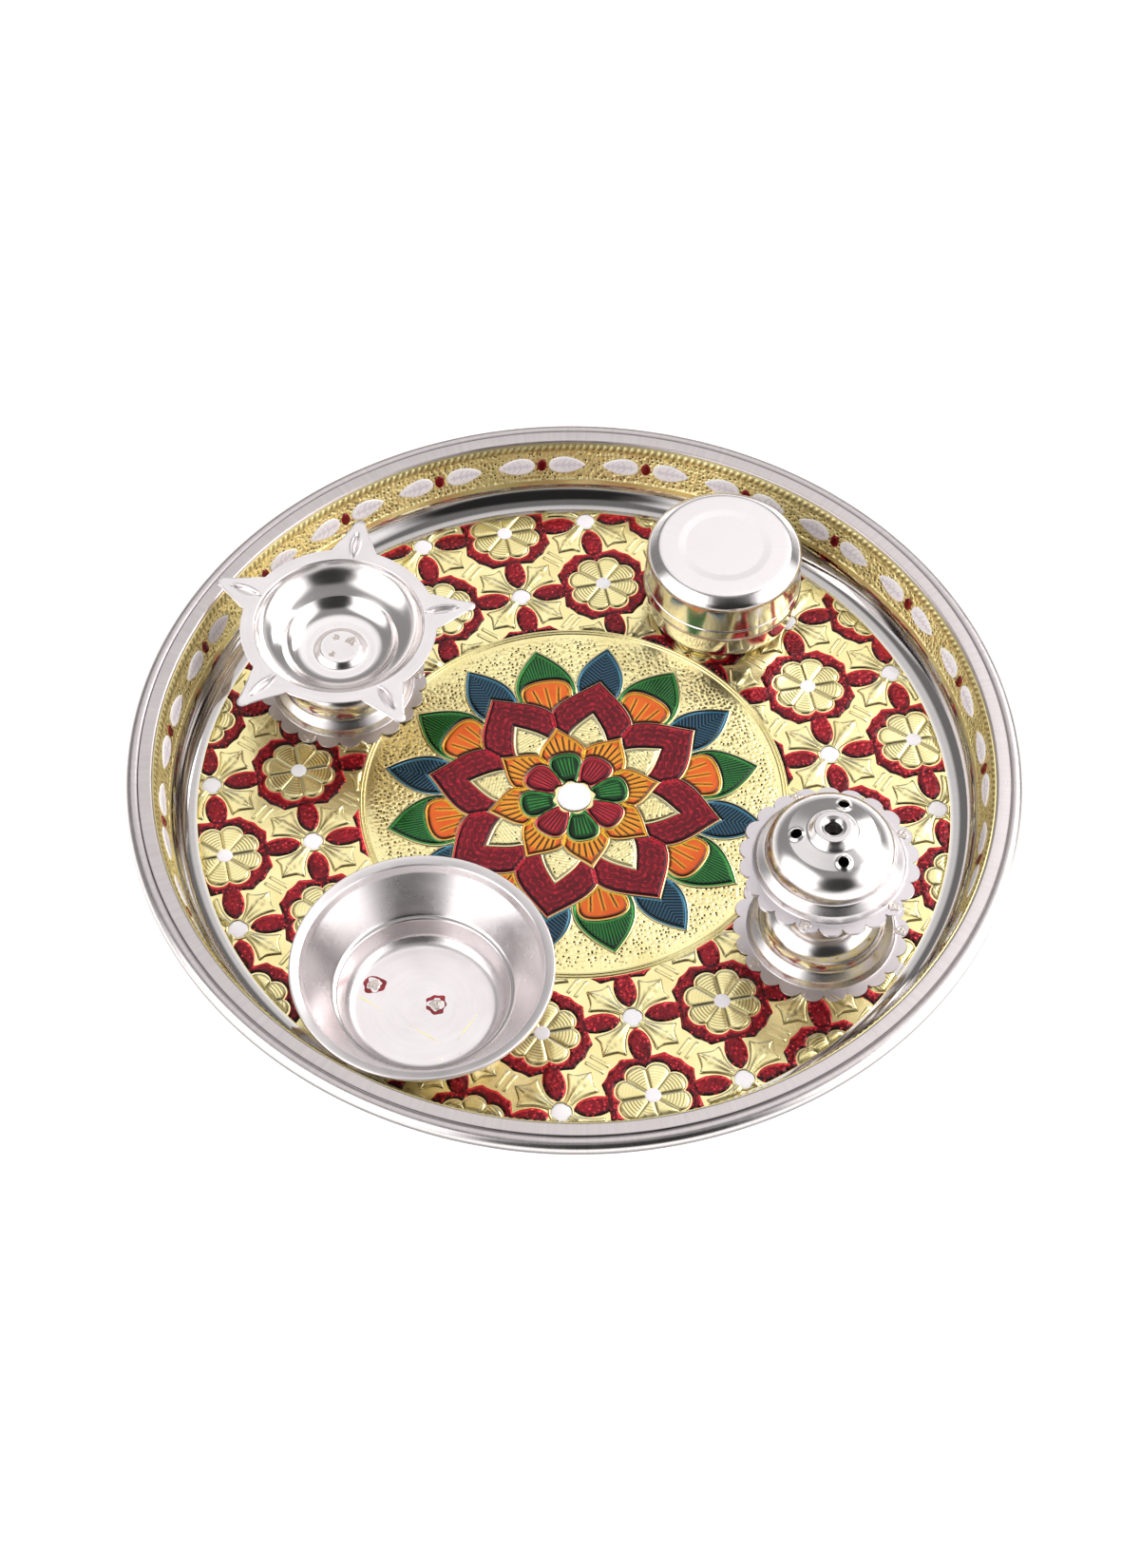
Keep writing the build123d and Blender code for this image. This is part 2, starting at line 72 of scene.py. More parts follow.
# Coordinates given as arrays of matching shapes, laid out with one row per point.
def stacked(*parts):
    return np.stack(np.broadcast_arrays(*parts), -1).reshape(-1, len(parts))


# A radius and an angle as x and y: radius times cosine and sine.
def polar(r, a):
    return r * np.cos(a), r * np.sin(a)


# Zero below low, one above high, and an even S curve between.
def ease(x, low, high):
    t = np.clip((x - low) / (high - low), 0, 1)
    return t * t * (3 - 2 * t)


# One at the middle, falling off as the exponential of minus the squared distance over the width.
def bell(x, middle, width):
    return np.exp(-(((x - middle) / width) ** 2))


# Quarter of an ellipse: rises from nought at the edge to full height one bevel in.
def pillow(inside, bevel):
    t = np.clip(inside / bevel, 0, 1)
    return np.sqrt(np.clip(1 - (1 - t) ** 2, 0, 1))


# A direction at length one.
def unit(way):
    return way / np.linalg.norm(way)


# Run along a line at each of its points: the lengths of its stretches added up.
def runOf(line):
    return np.concatenate([[0], np.cumsum(np.linalg.norm(np.diff(line, axis=0), axis=1))])


# Unit directions along a line, and the same turned a quarter to the right.
def waysOf(line):
    way = np.gradient(line, axis=0)
    way /= np.linalg.norm(way, axis=1)[:, None]
    return way, np.stack([way[:, 1], -way[:, 0]], -1)


# Points turned about the origin by an angle in degrees.
def turned(points, angle):
    a = np.radians(angle)
    return points @ np.array([[np.cos(a), np.sin(a)], [-np.sin(a), np.cos(a)]])


# A cubic curve: its four control points weighted by the powers of the share and of what is left of it.
def cubic(points, t):
    p = np.array(points, float)
    t = t[:, None]
    return p[0] * (1 - t) ** 3 + 3 * p[1] * t * (1 - t) ** 2 + 3 * p[2] * t * t * (1 - t) + p[3] * t**3


# Distance from points to a closed outline, positive inside: the least distance to its edges, signed by
# how many edges a ray to the right crosses.
def insideOf(points, outline):
    a = outline[None]
    b = np.roll(outline, -1, axis=0)[None]
    p = points[:, None]
    ab, ap = b - a, p - a
    t = np.clip((ap * ab).sum(-1) / np.maximum((ab * ab).sum(-1), 1e-12), 0, 1)
    gap = np.linalg.norm(ap - t[..., None] * ab, axis=-1).min(1)
    spans = (a[..., 1] > p[..., 1]) != (b[..., 1] > p[..., 1])
    rise = np.where(np.abs(ab[..., 1]) < 1e-12, 1e-12, ab[..., 1])
    cross = spans & (p[..., 0] < a[..., 0] + (p[..., 1] - a[..., 1]) / rise * ab[..., 0])
    return np.where(cross.sum(1) % 2 == 1, gap, -gap)


# The axis of a turned CAD node: the middle of its box, seen from above.
def axisOf(node):
    low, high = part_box(node)
    return np.array([(low[0] + high[0]) / 2, (low[1] + high[1]) / 2]) / mm


# One piece from a grid: corner points in millimetres, quads, fields of one number per corner, a finish
# number per quad and two UV numbers per corner. Corners that meet are merged, which closes poles and seams.
def addPiece(name, grid, finishes, replaced=(), body="tray", sharp=50):
    points, quads = grid["points"], grid["quads"]
    me = bpy.data.meshes.new(name)
    me.vertices.add(len(points))
    me.vertices.foreach_set("co", (points * mm).astype(np.float32).ravel())
    me.loops.add(quads.size)
    me.loops.foreach_set("vertex_index", quads.astype(np.int32).ravel())
    me.polygons.add(len(quads))
    me.polygons.foreach_set("loop_start", np.arange(0, quads.size, 4, dtype=np.int32))
    for finish in finishes:
        me.materials.append(finish)
    if "finishOf" in grid:
        me.polygons.foreach_set("material_index", grid["finishOf"].astype(np.int32))
    for key, values in grid["fields"].items():
        layer = me.attributes.new(key, "FLOAT", "POINT")
        layer.data.foreach_set("value", values.astype(np.float32))
    if "uv" in grid:
        layer = me.uv_layers.new(name="UVMap")
        layer.data.foreach_set("uv", grid["uv"].astype(np.float32)[quads.ravel()].ravel())
    me.update(calc_edges=True)
    bm = bmesh.new()
    bm.from_mesh(me)
    bmesh.ops.remove_doubles(bm, verts=bm.verts, dist=2e-6)
    bm.to_mesh(me)
    bm.free()
    me.polygons.foreach_set("use_smooth", np.ones(len(me.polygons), bool))
    me.set_sharp_from_angle(angle=np.radians(sharp))
    piece = bpy.data.objects.new(name, me)
    scene.collection.objects.link(piece)
    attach(piece, body)
    if replaced:
        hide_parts(*replaced)
    return piece


# A grid with one finish, its marks filled in with nought where none are given.
def motif(points, quads, **marks):
    zero = np.zeros(len(points))
    # The first field carries drawn strokes and painted shade lines; rim carries painted highlights and pale
    # pattern lines.
    fields = {k: np.ravel(marks.get(k, zero)) for k in ("stroke", "rim", "stipple", "hatch", "run")}
    return {"points": points, "quads": quads, "finishOf": np.zeros(len(quads), int), "fields": fields}


# Several grids end to end: corners and fields are stacked, and each grid's quads count on from the last.
def gather(grids):
    starts = np.cumsum([0] + [len(g["points"]) for g in grids[:-1]])
    out = {k: np.concatenate([g[k] for g in grids]) for k in ("points", "finishOf")}
    out["quads"] = np.concatenate([g["quads"] + s for g, s in zip(grids, starts)])
    out["fields"] = {k: np.concatenate([g["fields"][k] for g in grids]) for k in grids[0]["fields"]}
    return out


# A grid repeated at several bearings round the centre.
def ringOf(grid, bearings):
    copies = []
    for bearing in bearings:
        points = grid["points"].copy()
        points[:, :2] = turned(points[:, :2], bearing)
        copies.append({**grid, "points": points})
    return gather(copies)


# Where the painted light comes from, and how much drawn strokes fade where it falls.
slopeLightLook = {"lightSide": (0.34, 0.94), "strokeLoss": 0.6}


# Painted light by slope: corners that lean to the light's side, towards the back and a little to the right,
# get a painted highlight in the rim field, and those that lean away get painted shade in the field of strokes
# and shade, each eased in between a low and a high slope.
def paintSlopeLight(grid, dark, bright, low, high):
    points, quads, fields = grid["points"], grid["quads"], dict(grid["fields"])
    p = points[quads]
    normal = np.cross(p[:, 2] - p[:, 0], p[:, 3] - p[:, 1])
    total = np.zeros_like(points)
    for k in range(4):
        np.add.at(total, quads[:, k], normal)
    total *= np.sign(total[:, 2:]) / np.maximum(np.linalg.norm(total, axis=1), 1e-9)[:, None]
    side = total[:, :2] @ slopeLightLook["lightSide"]
    lit, shaded = ease(side, low, high), ease(-side, low, high)
    fields["stroke"] = np.maximum(fields["stroke"] * (1 - slopeLightLook["strokeLoss"] * lit), dark * shaded)
    fields["rim"] = np.maximum(fields["rim"] * (1 - shaded), bright * lit)
    return {**grid, "fields": fields}


# Finish helpers


# A node in a finish, with its settings and its inputs: a socket is linked, anything else is set.
def put(tree, kind, sets=None, **props):
    n = tree.nodes.new(kind)
    for key, value in props.items():
        setattr(n, key, value)
    for key, value in (sets or {}).items():
        if isinstance(value, bpy.types.NodeSocket):
            tree.links.new(value, n.inputs[key])
        else:
            n.inputs[key].default_value = value
    return n


# One step of arithmetic on sockets or numbers.
def calc(tree, how, *values):
    return put(tree, "ShaderNodeMath", dict(enumerate(values)), operation=how).outputs[0]


# The product of sockets or numbers.
def times(tree, product, *values):
    for value in values:
        product = calc(tree, "MULTIPLY", product, value)
    return product


# Two colours mixed: the first at a share of nought, the second at one.
def blendColour(tree, share, first, second):
    return put(tree, "ShaderNodeMix", {0: share, 6: first, 7: second}, data_type="RGBA").outputs[2]


# A value between low and high brought in proportion to between two others, and held there beyond.
def spread(tree, value, low, high, toLow, toHigh):
    return put(tree, "ShaderNodeMapRange", {0: value, 1: low, 2: high, 3: toLow, 4: toHigh}).outputs[0]


# One of the fields that addPiece lays on the corners.
def fieldOf(tree, name):
    return put(tree, "ShaderNodeAttribute", attribute_name=name).outputs["Fac"]


# The place on the object, or on the sheet by its UV numbers, times a scale.
def placeOf(tree, kind="Object", scale=(1, 1, 1)):
    spot = put(tree, "ShaderNodeTexCoord").outputs[kind]
    return put(tree, "ShaderNodeMapping", {"Vector": spot, "Scale": scale}).outputs[0]


# Soft random patches, so many to the metre.
def noise(tree, place, scale, detail=3.0, rough=0.55):
    sets = {"Vector": place, "Scale": scale, "Detail": detail, "Roughness": rough}
    return put(tree, "ShaderNodeTexNoise", sets).outputs["Fac"]


# Distance to the nearest of scattered points, so many to the metre.
def cells(tree, place, scale, jitter=0.9, feature="F1"):
    sets = {"Vector": place, "Scale": scale, "Randomness": jitter}
    return put(tree, "ShaderNodeTexVoronoi", sets, feature=feature).outputs["Distance"]


# The normal tilted by a height's slope, over another bump where one is given.
def bump(tree, height, strength, distance, under=None):
    sets = {"Height": height, "Strength": strength, "Distance": distance}
    if under is not None:
        sets["Normal"] = under
    return put(tree, "ShaderNodeBump", sets).outputs[0]


# A new finish with its plain settings, as material, node tree and shader.
def newFinish(name, sets):
    mat = bpy.data.materials.new(name)
    mat.use_nodes = True
    shader = mat.node_tree.nodes["Principled BSDF"]
    for key, value in sets.items():
        shader.inputs[key].default_value = value
    return mat, mat.node_tree, shader


# Sockets linked to the shader's inputs by name.
def wire(tree, shader, sockets):
    for key, socket in sockets.items():
        tree.links.new(socket, shader.inputs[key])


# A colour given as it looks on screen, from 0 to 255, in the shader's linear scale.
def rgb(r, g, b):
    v = np.array([r, g, b]) / 255.0
    return (*np.where(v <= 0.04045, v / 12.92, ((v + 0.055) / 1.055) ** 2.4), 1.0)


# Camera and studio

white = (1, 1, 1, 1)
cameraLook = {
    "place": (-132.8, -581.7, 825.9),
    "right": (0.97784, -0.20920, 0.00831),
    "down": (-0.16423, -0.79107, -0.58927),
    "lens": 101.43,
    "sensor": 36.0,
}


# A camera or lamp: its right, up and backward directions and its place are the columns of its matrix, and
# up is the cross product of right and forward.
def placed(name, data, right, forward, place):
    turn = np.eye(4)
    turn[:3] = np.column_stack([right, np.cross(right, forward), -forward, place])
    obj = bpy.data.objects.new(name, data)
    scene.collection.objects.link(obj)
    obj.matrix_world = Matrix(turn.tolist())
    return obj


# The photo's camera: forward is the cross product of its right and down directions.
def setCamera():
    c = cameraLook
    data = bpy.data.cameras.new("photoCamera")
    data.sensor_fit = "HORIZONTAL"
    data.sensor_width = c["sensor"]
    data.lens = c["lens"]
    right = unit(np.array(c["right"]))
    forward = unit(-np.cross(c["down"], right))
    scene.camera = placed("photoCamera", data, right, forward, np.array(c["place"]) * mm)


# Each soft box has its direction, the cosines where it begins and is full, and its power. The lamp's place
# and size are in metres.
studioLook = {
    "floorSize": 6000.0,
    "floorDrop": 0.02,
    "floorGlow": 0.55,
    "floorTones": (0.9, 0.93),
    "room": 0.3,
    "horizon": 0.75,
    "horizonHeights": (0.04, 0.3),
    "boxes": (
        ((0.1, 0.46, 0.88), 0.86, 0.94, 0.88),
        ((-0.8, -0.3, 0.52), 0.77, 0.88, 1.75),
        ((0.83, -0.34, 0.44), 0.79, 0.9, 1.5),
    ),
    "dark": ((-0.04, -0.82, 0.57), 0.84, 0.92, 0.12),
    "keyPower": 9.5,
    "keySize": (1.2, 0.7),
    "keyPlace": (1.0, 0.3, 1.05),
}


# How much a soft box shows in a direction: the cosine of the angle between them, spread between two values.
def boxShare(tree, way, box, least, most):
    centre, low, high = box[:3]
    near = put(tree, "ShaderNodeVectorMath", {0: way, 1: centre}, operation="DOT_PRODUCT").outputs["Value"]
    return spread(tree, near, low, high, least, most)


# A dim white room: a bright horizon and the soft boxes added up, times a dark patch on the camera's side.
def setRoom():
    s = studioLook
    world = bpy.data.worlds.new("studio")
    scene.world = world
    world.use_nodes = True
    tree = world.node_tree
    way = put(tree, "ShaderNodeTexCoord").outputs["Generated"]
    height = put(tree, "ShaderNodeSeparateXYZ", {0: way}).outputs[2]
    glow = calc(tree, "ADD", spread(tree, height, *s["horizonHeights"], s["horizon"], 0.0), s["room"])
    for box in s["boxes"]:
        glow = calc(tree, "ADD", glow, boxShare(tree, way, box, 0.0, box[3]))
    glow = times(tree, glow, boxShare(tree, way, s["dark"], 1.0, s["dark"][3]))
    shader = tree.nodes["Background"]
    shader.inputs["Color"].default_value = white
    wire(tree, shader, {"Strength": glow})


# The white table: one large quad just below the tray.
def setTable():
    s = studioLook
    half, low = s["floorSize"] / 2 * mm, -s["floorDrop"] * mm
    corners = [(x * half, y * half, low) for x, y in ((-1, -1), (1, -1), (1, 1), (-1, 1))]
    me = bpy.data.meshes.new("studioFloor")
    me.from_pydata(corners, [], [(0, 1, 2, 3)])
    floor = bpy.data.objects.new("studioFloor", me)
    scene.collection.objects.link(floor)
    sets = {"Roughness": 0.9, "Specular IOR Level": 0.1}
    sets.update({"Emission Color": white, "Emission Strength": s["floorGlow"]})
    mat, tree, shader = newFinish("tableWhite", sets)
    first, second = ((tone, tone, tone, 1) for tone in s["floorTones"])
    wire(tree, shader, {"Base Color": blendColour(tree, noise(tree, placeOf(tree), 3.0), first, second)})
    me.materials.append(mat)
    floor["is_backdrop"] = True


# One large soft lamp that looks at the tray's middle.
def setLamp():
    s = studioLook
    lamp = bpy.data.lights.new("softLamp", "AREA")
    lamp.shape = "RECTANGLE"
    lamp.size, lamp.size_y = s["keySize"]
    lamp.energy = s["keyPower"]
    place = np.array(s["keyPlace"])
    forward = unit(-place)
    placed("softLamp", lamp, unit(np.cross(forward, (0, 0, 1))), forward, place)


setCamera()
setRoom()
setTable()
setLamp()
scene.view_settings.view_transform = "Standard"
scene.view_settings.look = "None"
print("camera and studio set")

# Finishes

# Each steel has its roughness frosted and polished, its streaks round and along, its frosted colour, and
# the streaks' strength frosted and polished.
steelLook = {
    # The brown tone serves heat tint and painted reflection; the black is painted shade.
    "mirror": rgb(238, 233, 231), "line": rgb(168, 162, 160), "brownTone": rgb(150, 108, 72),
    "hole": (0.002, 0.002, 0.002, 1), "smear": 90.0, "grain": 2600.0, "patch": 160.0, "dull": (0.22, 0.03),
    "lineShare": 0.6, "grainDepth": 0.00006, "lineDepth": 0.00005,
    "makes": {
        "plateSteel": (0.32, 0.07, (60.0, 2.0), rgb(212, 203, 203), (0.7, 0.2)),
        "bowlSteel": (0.34, 0.12, (2.0, 60.0), rgb(240, 233, 234), (0.25, 0.15)),
        "lidSteel": (0.34, 0.1, (90.0, 2.0), rgb(238, 231, 232), (0.1, 0.6)),
        "hatSteel": (0.36, 0.13, (2.0, 30.0), rgb(206, 199, 202), (0.3, 0.2)),
        "weldSteel": (0.42, 0.2, (1.0, 1.0), rgb(196, 182, 172), (0.3, 0.3)),
    },
}


# Steel: roughness goes from frosted to mirror with the polish field, streaks follow the turning angle and
# the profile's run, and colour goes to brown with the brown tint field (heat tint at the welds, a painted
# reflection in the tray's cove and on the hats' front flanges) and to black with the painted shade field.
def steelFinish(name, frosted, mirror, streak, tint, show):
    s = steelLook
    mat, tree, shader = newFinish(name, {"Metallic": 1.0})
    place = placeOf(tree)
    polish = fieldOf(tree, "polish")
    lines = noise(tree, placeOf(tree, "UV", (*streak, 1)), 1.0, 3.0, 0.6)
    smear = spread(tree, noise(tree, place, s["smear"], 4.0), 0.3, 0.7, 0.8, 1.25)
    rough = times(tree, spread(tree, polish, 0.0, 1.0, frosted, mirror), smear)
    streaks = times(tree, lines, spread(tree, polish, 0.0, 1.0, *show))
    tone = blendColour(tree, streaks, blendColour(tree, polish, tint, s["mirror"]), s["line"])
    patch = spread(tree, noise(tree, place, s["patch"]), 0.35, 0.65, 0.1, 1.0)
    tone = blendColour(tree, times(tree, fieldOf(tree, "heat"), patch), tone, s["brownTone"])
    tone = blendColour(tree, fieldOf(tree, "hole"), tone, s["hole"])
    dull = spread(tree, polish, 0.0, 1.0, *s["dull"])
    grain = bump(tree, noise(tree, place, s["grain"], 2.0), dull, s["grainDepth"])
    normal = bump(tree, lines, times(tree, dull, s["lineShare"]), s["lineDepth"], grain)
    wire(tree, shader, {"Roughness": rough, "Base Color": tone, "Normal": normal})
    return mat


# Each gilt has its pits' pitch, its patches' depth, its roughness and its knobs' strength.
giltLook = {
    "bright": rgb(248, 236, 178), "deep": rgb(208, 182, 100), "pit": rgb(56, 40, 10),
    "glint": rgb(255, 252, 232), "hatchPitch": 1.0, "hatchDepth": 0.8, "strokeDepth": 0.8, "patch": 60.0,
    "pitPatch": 300.0, "ripple": 420.0, "rippleDepth": 0.0003, "knobDepth": 0.0007,
    "makes": {"giltFoil": (1.45, 0.35, 0.24, 0.35), "wallGilt": (1.3, 0.25, 0.42, 0.8)},
}


# Gilt foil: pale gold, deeper in soft patches, with dark pits by the stipple field, dark lines (drawn
# strokes and painted shade) by the field of strokes and shade, even hatching along the run field and a white
# painted highlight by the rim field.
def giltFinish(name, pitPitch, patch, rough, knob):
    g = giltLook
    mat, tree, shader = newFinish(name, {"Metallic": 1.0, "Roughness": rough})
    place = placeOf(tree)
    stipple = fieldOf(tree, "stipple")
    spot = cells(tree, place, 1 / (pitPitch * mm), 0.75)
    some = spread(tree, noise(tree, place, g["pitPatch"], 2.0), 0.3, 0.42, 0.0, 1.0)
    pits = times(tree, spread(tree, spot, 0.22, 0.3, 1.0, 0.0), some, stipple)
    wave = calc(tree, "SINE", times(tree, fieldOf(tree, "run"), tau / g["hatchPitch"]))
    hatch = times(tree, spread(tree, wave, 0.1, 0.7, 0.0, g["hatchDepth"]), fieldOf(tree, "hatch"))
    soft = spread(tree, noise(tree, place, g["patch"]), 0.35, 0.7, 0.0, patch)
    tone = blendColour(tree, soft, g["bright"], g["deep"])
    tone = blendColour(tree, fieldOf(tree, "rim"), tone, g["glint"])
    dark = calc(tree, "MAXIMUM", times(tree, fieldOf(tree, "stroke"), g["strokeDepth"]), hatch)
    tone = blendColour(tree, pits, blendColour(tree, dark, tone, g["pit"]), g["pit"])
    ripple = bump(tree, noise(tree, place, g["ripple"], 3.0), 0.25, g["rippleDepth"])
    normal = bump(tree, times(tree, spot, stipple), knob, g["knobDepth"], ripple)
    wire(tree, shader, {"Base Color": tone, "Normal": normal})
    return mat


# Each lacquer has its body, deep, line and glint colours, then its metal, its pebbling and its roughness.
# Line darkens drawn strokes and painted shade lines; glint lightens painted highlights and pale pattern
# lines.
lacquerLook = {
    "patch": 130.0, "lumps": 780.0, "sparks": 700.0, "sparkEdges": (0.08, 0.34), "wave": 500.0,
    "waveDepth": 0.0002, "lumpDepth": 0.0005,
    "coat": {"Specular IOR Level": 0.35, "Coat Weight": 0.15, "Coat Roughness": 0.08},
    "makes": {
        "redLacquer": ((148, 12, 30), (104, 3, 18), (20, 0, 4), (246, 58, 70), 0.55, 0.85),
        "maroonLacquer": ((118, 8, 28), (94, 4, 20), (16, 0, 3), (214, 40, 60)),
        "innerRedLacquer": ((140, 10, 32), (112, 5, 24), (30, 0, 8), (235, 60, 74)),
        "orangeLacquer": ((226, 104, 30), (214, 86, 20), (40, 14, 2), (255, 208, 50), 0.4),
        "greenLacquer": ((4, 62, 20), (1, 34, 10), (0, 8, 2), (70, 176, 80)),
        "blueLacquer": ((2, 16, 34), (0, 5, 15), (0, 2, 5), (84, 160, 196)),
        "whiteLacquer": ((255, 252, 255), (250, 244, 252), (214, 206, 222), (255, 255, 255), 0.0),
        "burntLacquer": ((168, 44, 52), (120, 22, 30), (60, 10, 12), (220, 150, 150), 0.1, 0.2, 0.5),
        "borderRed": ((120, 6, 20), (80, 0, 12), (40, 0, 6), (220, 60, 70), 0.5),
    },
}


# Lacquer over foil: colour goes from deep to body in soft patches, to line with the field of strokes and
# shade and to glint with the rim field (painted highlights and pale pattern lines); pebble adds a hammered
# surface with bright sparks, which are painted highlights.
def lacquerFinish(name, body, deep, line, glint, metal=0.55, pebble=0.0, rough=0.22):
    k = lacquerLook
    mat, tree, shader = newFinish(name, {"Metallic": metal, "Roughness": rough, **k["coat"]})
    place = placeOf(tree)
    soft = spread(tree, noise(tree, place, k["patch"]), 0.35, 0.65, 0.0, 1.0)
    tone = blendColour(tree, soft, rgb(*deep), rgb(*body))
    tone = blendColour(tree, fieldOf(tree, "stroke"), tone, rgb(*line))
    tone = blendColour(tree, fieldOf(tree, "rim"), tone, rgb(*glint))
    sparkHighlight = spread(tree, cells(tree, place, k["sparks"]), *k["sparkEdges"], pebble, 0.0)
    tone = blendColour(tree, sparkHighlight, tone, rgb(*glint))
    wave = bump(tree, noise(tree, place, k["wave"], 2.0), 0.25, k["waveDepth"])
    lumps = cells(tree, place, k["lumps"], 1.0, "SMOOTH_F1")
    wire(tree, shader, {"Base Color": tone, "Normal": bump(tree, lumps, pebble, k["lumpDepth"], wave)})
    return mat


finish = {name: steelFinish(name, *look) for name, look in steelLook["makes"].items()}
finish.update({name: giltFinish(name, *look) for name, look in giltLook["makes"].items()})
finish.update({name: lacquerFinish(name, *look) for name, look in lacquerLook["makes"].items()})
print("finishes made")

# Tray

traySize = {
    "radius": 140.0,
    "height": 23.05,
    "sheet": 0.6,
    "bead": 2.75,
    "beadStart": 118.0,
    "beadTurn": 225.0,
    "lip": 5.9,
    "lipBend": 0.9,
    "lean": 14.7,
    "cove": 7.7,
    "foil": 0.3,
    "edgeGap": 0.25,
    "groove": 0.25,
    "grooveBend": 0.3,
    "segments": 360,
    "mirror": ((112, 121), (10, 22)),
    "beadGloss": (0.55, 137.5, 138.6),
    "beadShade": (0.7, 0, 22),
    "grooveShade": (0.85, 0.24),
    "coveHeights": (5, 8),
    "coveBrownReflection": 0.9,
    "coveShade": 0.42,
}
lean = np.radians(traySize["lean"])
bendShare = np.tan((np.pi / 2 - lean) / 2)
beadAxis = traySize["radius"] - traySize["bead"]
wallTop = beadAxis - traySize["lip"]
wallFoot = wallTop - (traySize["height"] - traySize["sheet"]) * np.tan(lean)
wallLength = (traySize["height"] - traySize["sheet"]) / np.cos(lean)
floorRadius = wallFoot - traySize["cove"] * bendShare
foilRadius = floorRadius - traySize["edgeGap"]
foilStart = traySize["cove"] * bendShare + traySize["edgeGap"]
foilEnd = wallLength - traySize["lipBend"] * bendShare - traySize["edgeGap"]


# Straight runs between points, each inner corner rounded to its radius by the arc that touches both.
def roundedLine(points, radii, steps=7):
    p = np.array(points, float)
    out = [p[:1]]
    for a, b, c, r in zip(p, p[1:], p[2:], radii):
        u, v = unit(a - b), unit(c - b)
        half = np.arccos(np.clip(u @ v, -1, 1)) / 2
        cut = min(r / np.tan(half), 0.49 * min(np.linalg.norm(a - b), np.linalg.norm(c - b)))
        if cut < 1e-3:
            out.append(b[None])
            continue
        r = cut * np.tan(half)
        centre = b + unit(u + v) * r / np.sin(half)
        s, e = b + u * cut - centre, b + v * cut - centre
        first = np.arctan2(s[1], s[0])
        sweep = (np.arctan2(e[1], e[0]) - first + np.pi) % tau - np.pi
        out.append(centre + stacked(*polar(r, first + sweep * np.linspace(0, 1, steps))))
    out.append(p[-1:])
    return np.concatenate(out)


# The same line with extra points: no stretch is longer than a step, nor than a finer one between two radii.
def densed(line, step, fine=None):
    run = runOf(line)
    counts = np.maximum(2, np.ceil(np.diff(run) / step).astype(int) + 1)
    marks = np.concatenate([np.linspace(a, b, n)[:-1] for a, b, n in zip(run, run[1:], counts)])
    if fine is not None:
        low, high = np.interp(fine[:2], line[:, 0], run)
        marks = np.concatenate([marks, np.arange(low, high, fine[2])])
    marks = np.append(np.unique(np.round(marks, 2)), run[-1])
    return np.stack([np.interp(marks, run, line[:, k]) for k in (0, 1)], -1)


# A sheet's section: the upper line outwards, a rounded edge, and the line one sheet lower back inwards.
def sheetLine(line, sheet):
    way, right = waysOf(line)
    under = line + sheet * right
    under[:, 0] = np.maximum(under[:, 0], 0)
    edge = (line[-1] + under[-1]) / 2 + way[-1] * sheet * 0.35
    return np.concatenate([line, edge[None], under[::-1]])


# A section carried round an axis: radius times cosine and sine of the angle. Bend may move the points
# first, by angle, radius and height. UV is the angle and the run along the section.
def turnedGrid(section, segments, axis=(0, 0), bend=None, angles=None):
    angle = np.linspace(0, tau, segments + 1) if angles is None else angles
    a, r = np.meshgrid(angle, section[:, 0])
    z = np.meshgrid(angle, section[:, 1])[1]
    if bend is not None:
        r, z = bend(a, r, z)
    x, y = polar(r, a)
    uv = stacked(a * section[:, 0].max() / 100, runOf(section)[:, None] / 100)
    grid = {"points": stacked(x + axis[0], y + axis[1], z), "quads": gridFaces(*a.shape), "uv": uv}
    return grid, a.ravel(), r.ravel(), z.ravel()


# A point on the wall's inner face by its run up the slope and its lift off it, as radius and height.
def wallSpot(along, lift):
    radius = wallFoot + along * np.sin(lean) - lift * np.cos(lean)
    return radius, traySize["sheet"] + along * np.cos(lean) + lift * np.sin(lean)


# The tray: floor, cove, leaning wall and lip, then the rolled edge as an arc. It is polished in the cove
# and on the roll. Painted shade darkens the roll's underside and the lip's groove, and the bare cove gets
# painted shade and a painted brown reflection.
def trayPlate():
    t = traySize
    bead, height, sheet = t["bead"], t["height"], t["sheet"]
    roll = np.radians(np.linspace(t["beadStart"], 90 - t["beadTurn"], 30))
    curl = stacked(*polar(bead, roll)) + (beadAxis, height - bead)
    brow = curl[0, 0] - t["groove"]
    corners = [(0, sheet), (wallFoot, sheet), (wallTop, height), (brow, height), curl[0]]
    line = roundedLine(corners, (t["cove"], t["lipBend"], t["grooveBend"]), 14)
    line = np.concatenate([densed(line[:-1], 3.0, (brow - 1.0, brow, 0.16)), curl])
    section = sheetLine(line, sheet)
    grid, a, r, z = turnedGrid(section, t["segments"])
    gloss, inward, outward = t["beadGloss"]
    polish = ease(r, *t["mirror"][0]) * (1 - ease(z, *t["mirror"][1])) + gloss * ease(r, inward, outward)
    rollSide = np.degrees(np.arctan2(z - height + bead, r - beadAxis))
    dark, low, high = t["beadShade"]
    deep, width = t["grooveShade"]
    shade = dark * (1 - ease(rollSide, low, high)) * (r > beadAxis + 1)
    shade += deep * bell(r, brow, width) * (z > height - 1)
    above = np.repeat(np.arange(len(section)) < len(line), t["segments"] + 1)
    cove = above * ease(r, floorRadius - 0.4, floorRadius + 1) * (1 - ease(z, *t["coveHeights"]))
    grid["fields"] = {"polish": polish, "heat": t["coveBrownReflection"] * cove, "hole": shade + t["coveShade"] * cove}
    addPiece("trayPlate", grid, [finish["plateSteel"]], ("thali_plate",))


trayPlate()
print("tray made")

# Vessels

vesselSize = {"seat": 1.05, "sheet": 0.5, "step": 1.2}
seat, vesselSheet = vesselSize["seat"], vesselSize["sheet"]


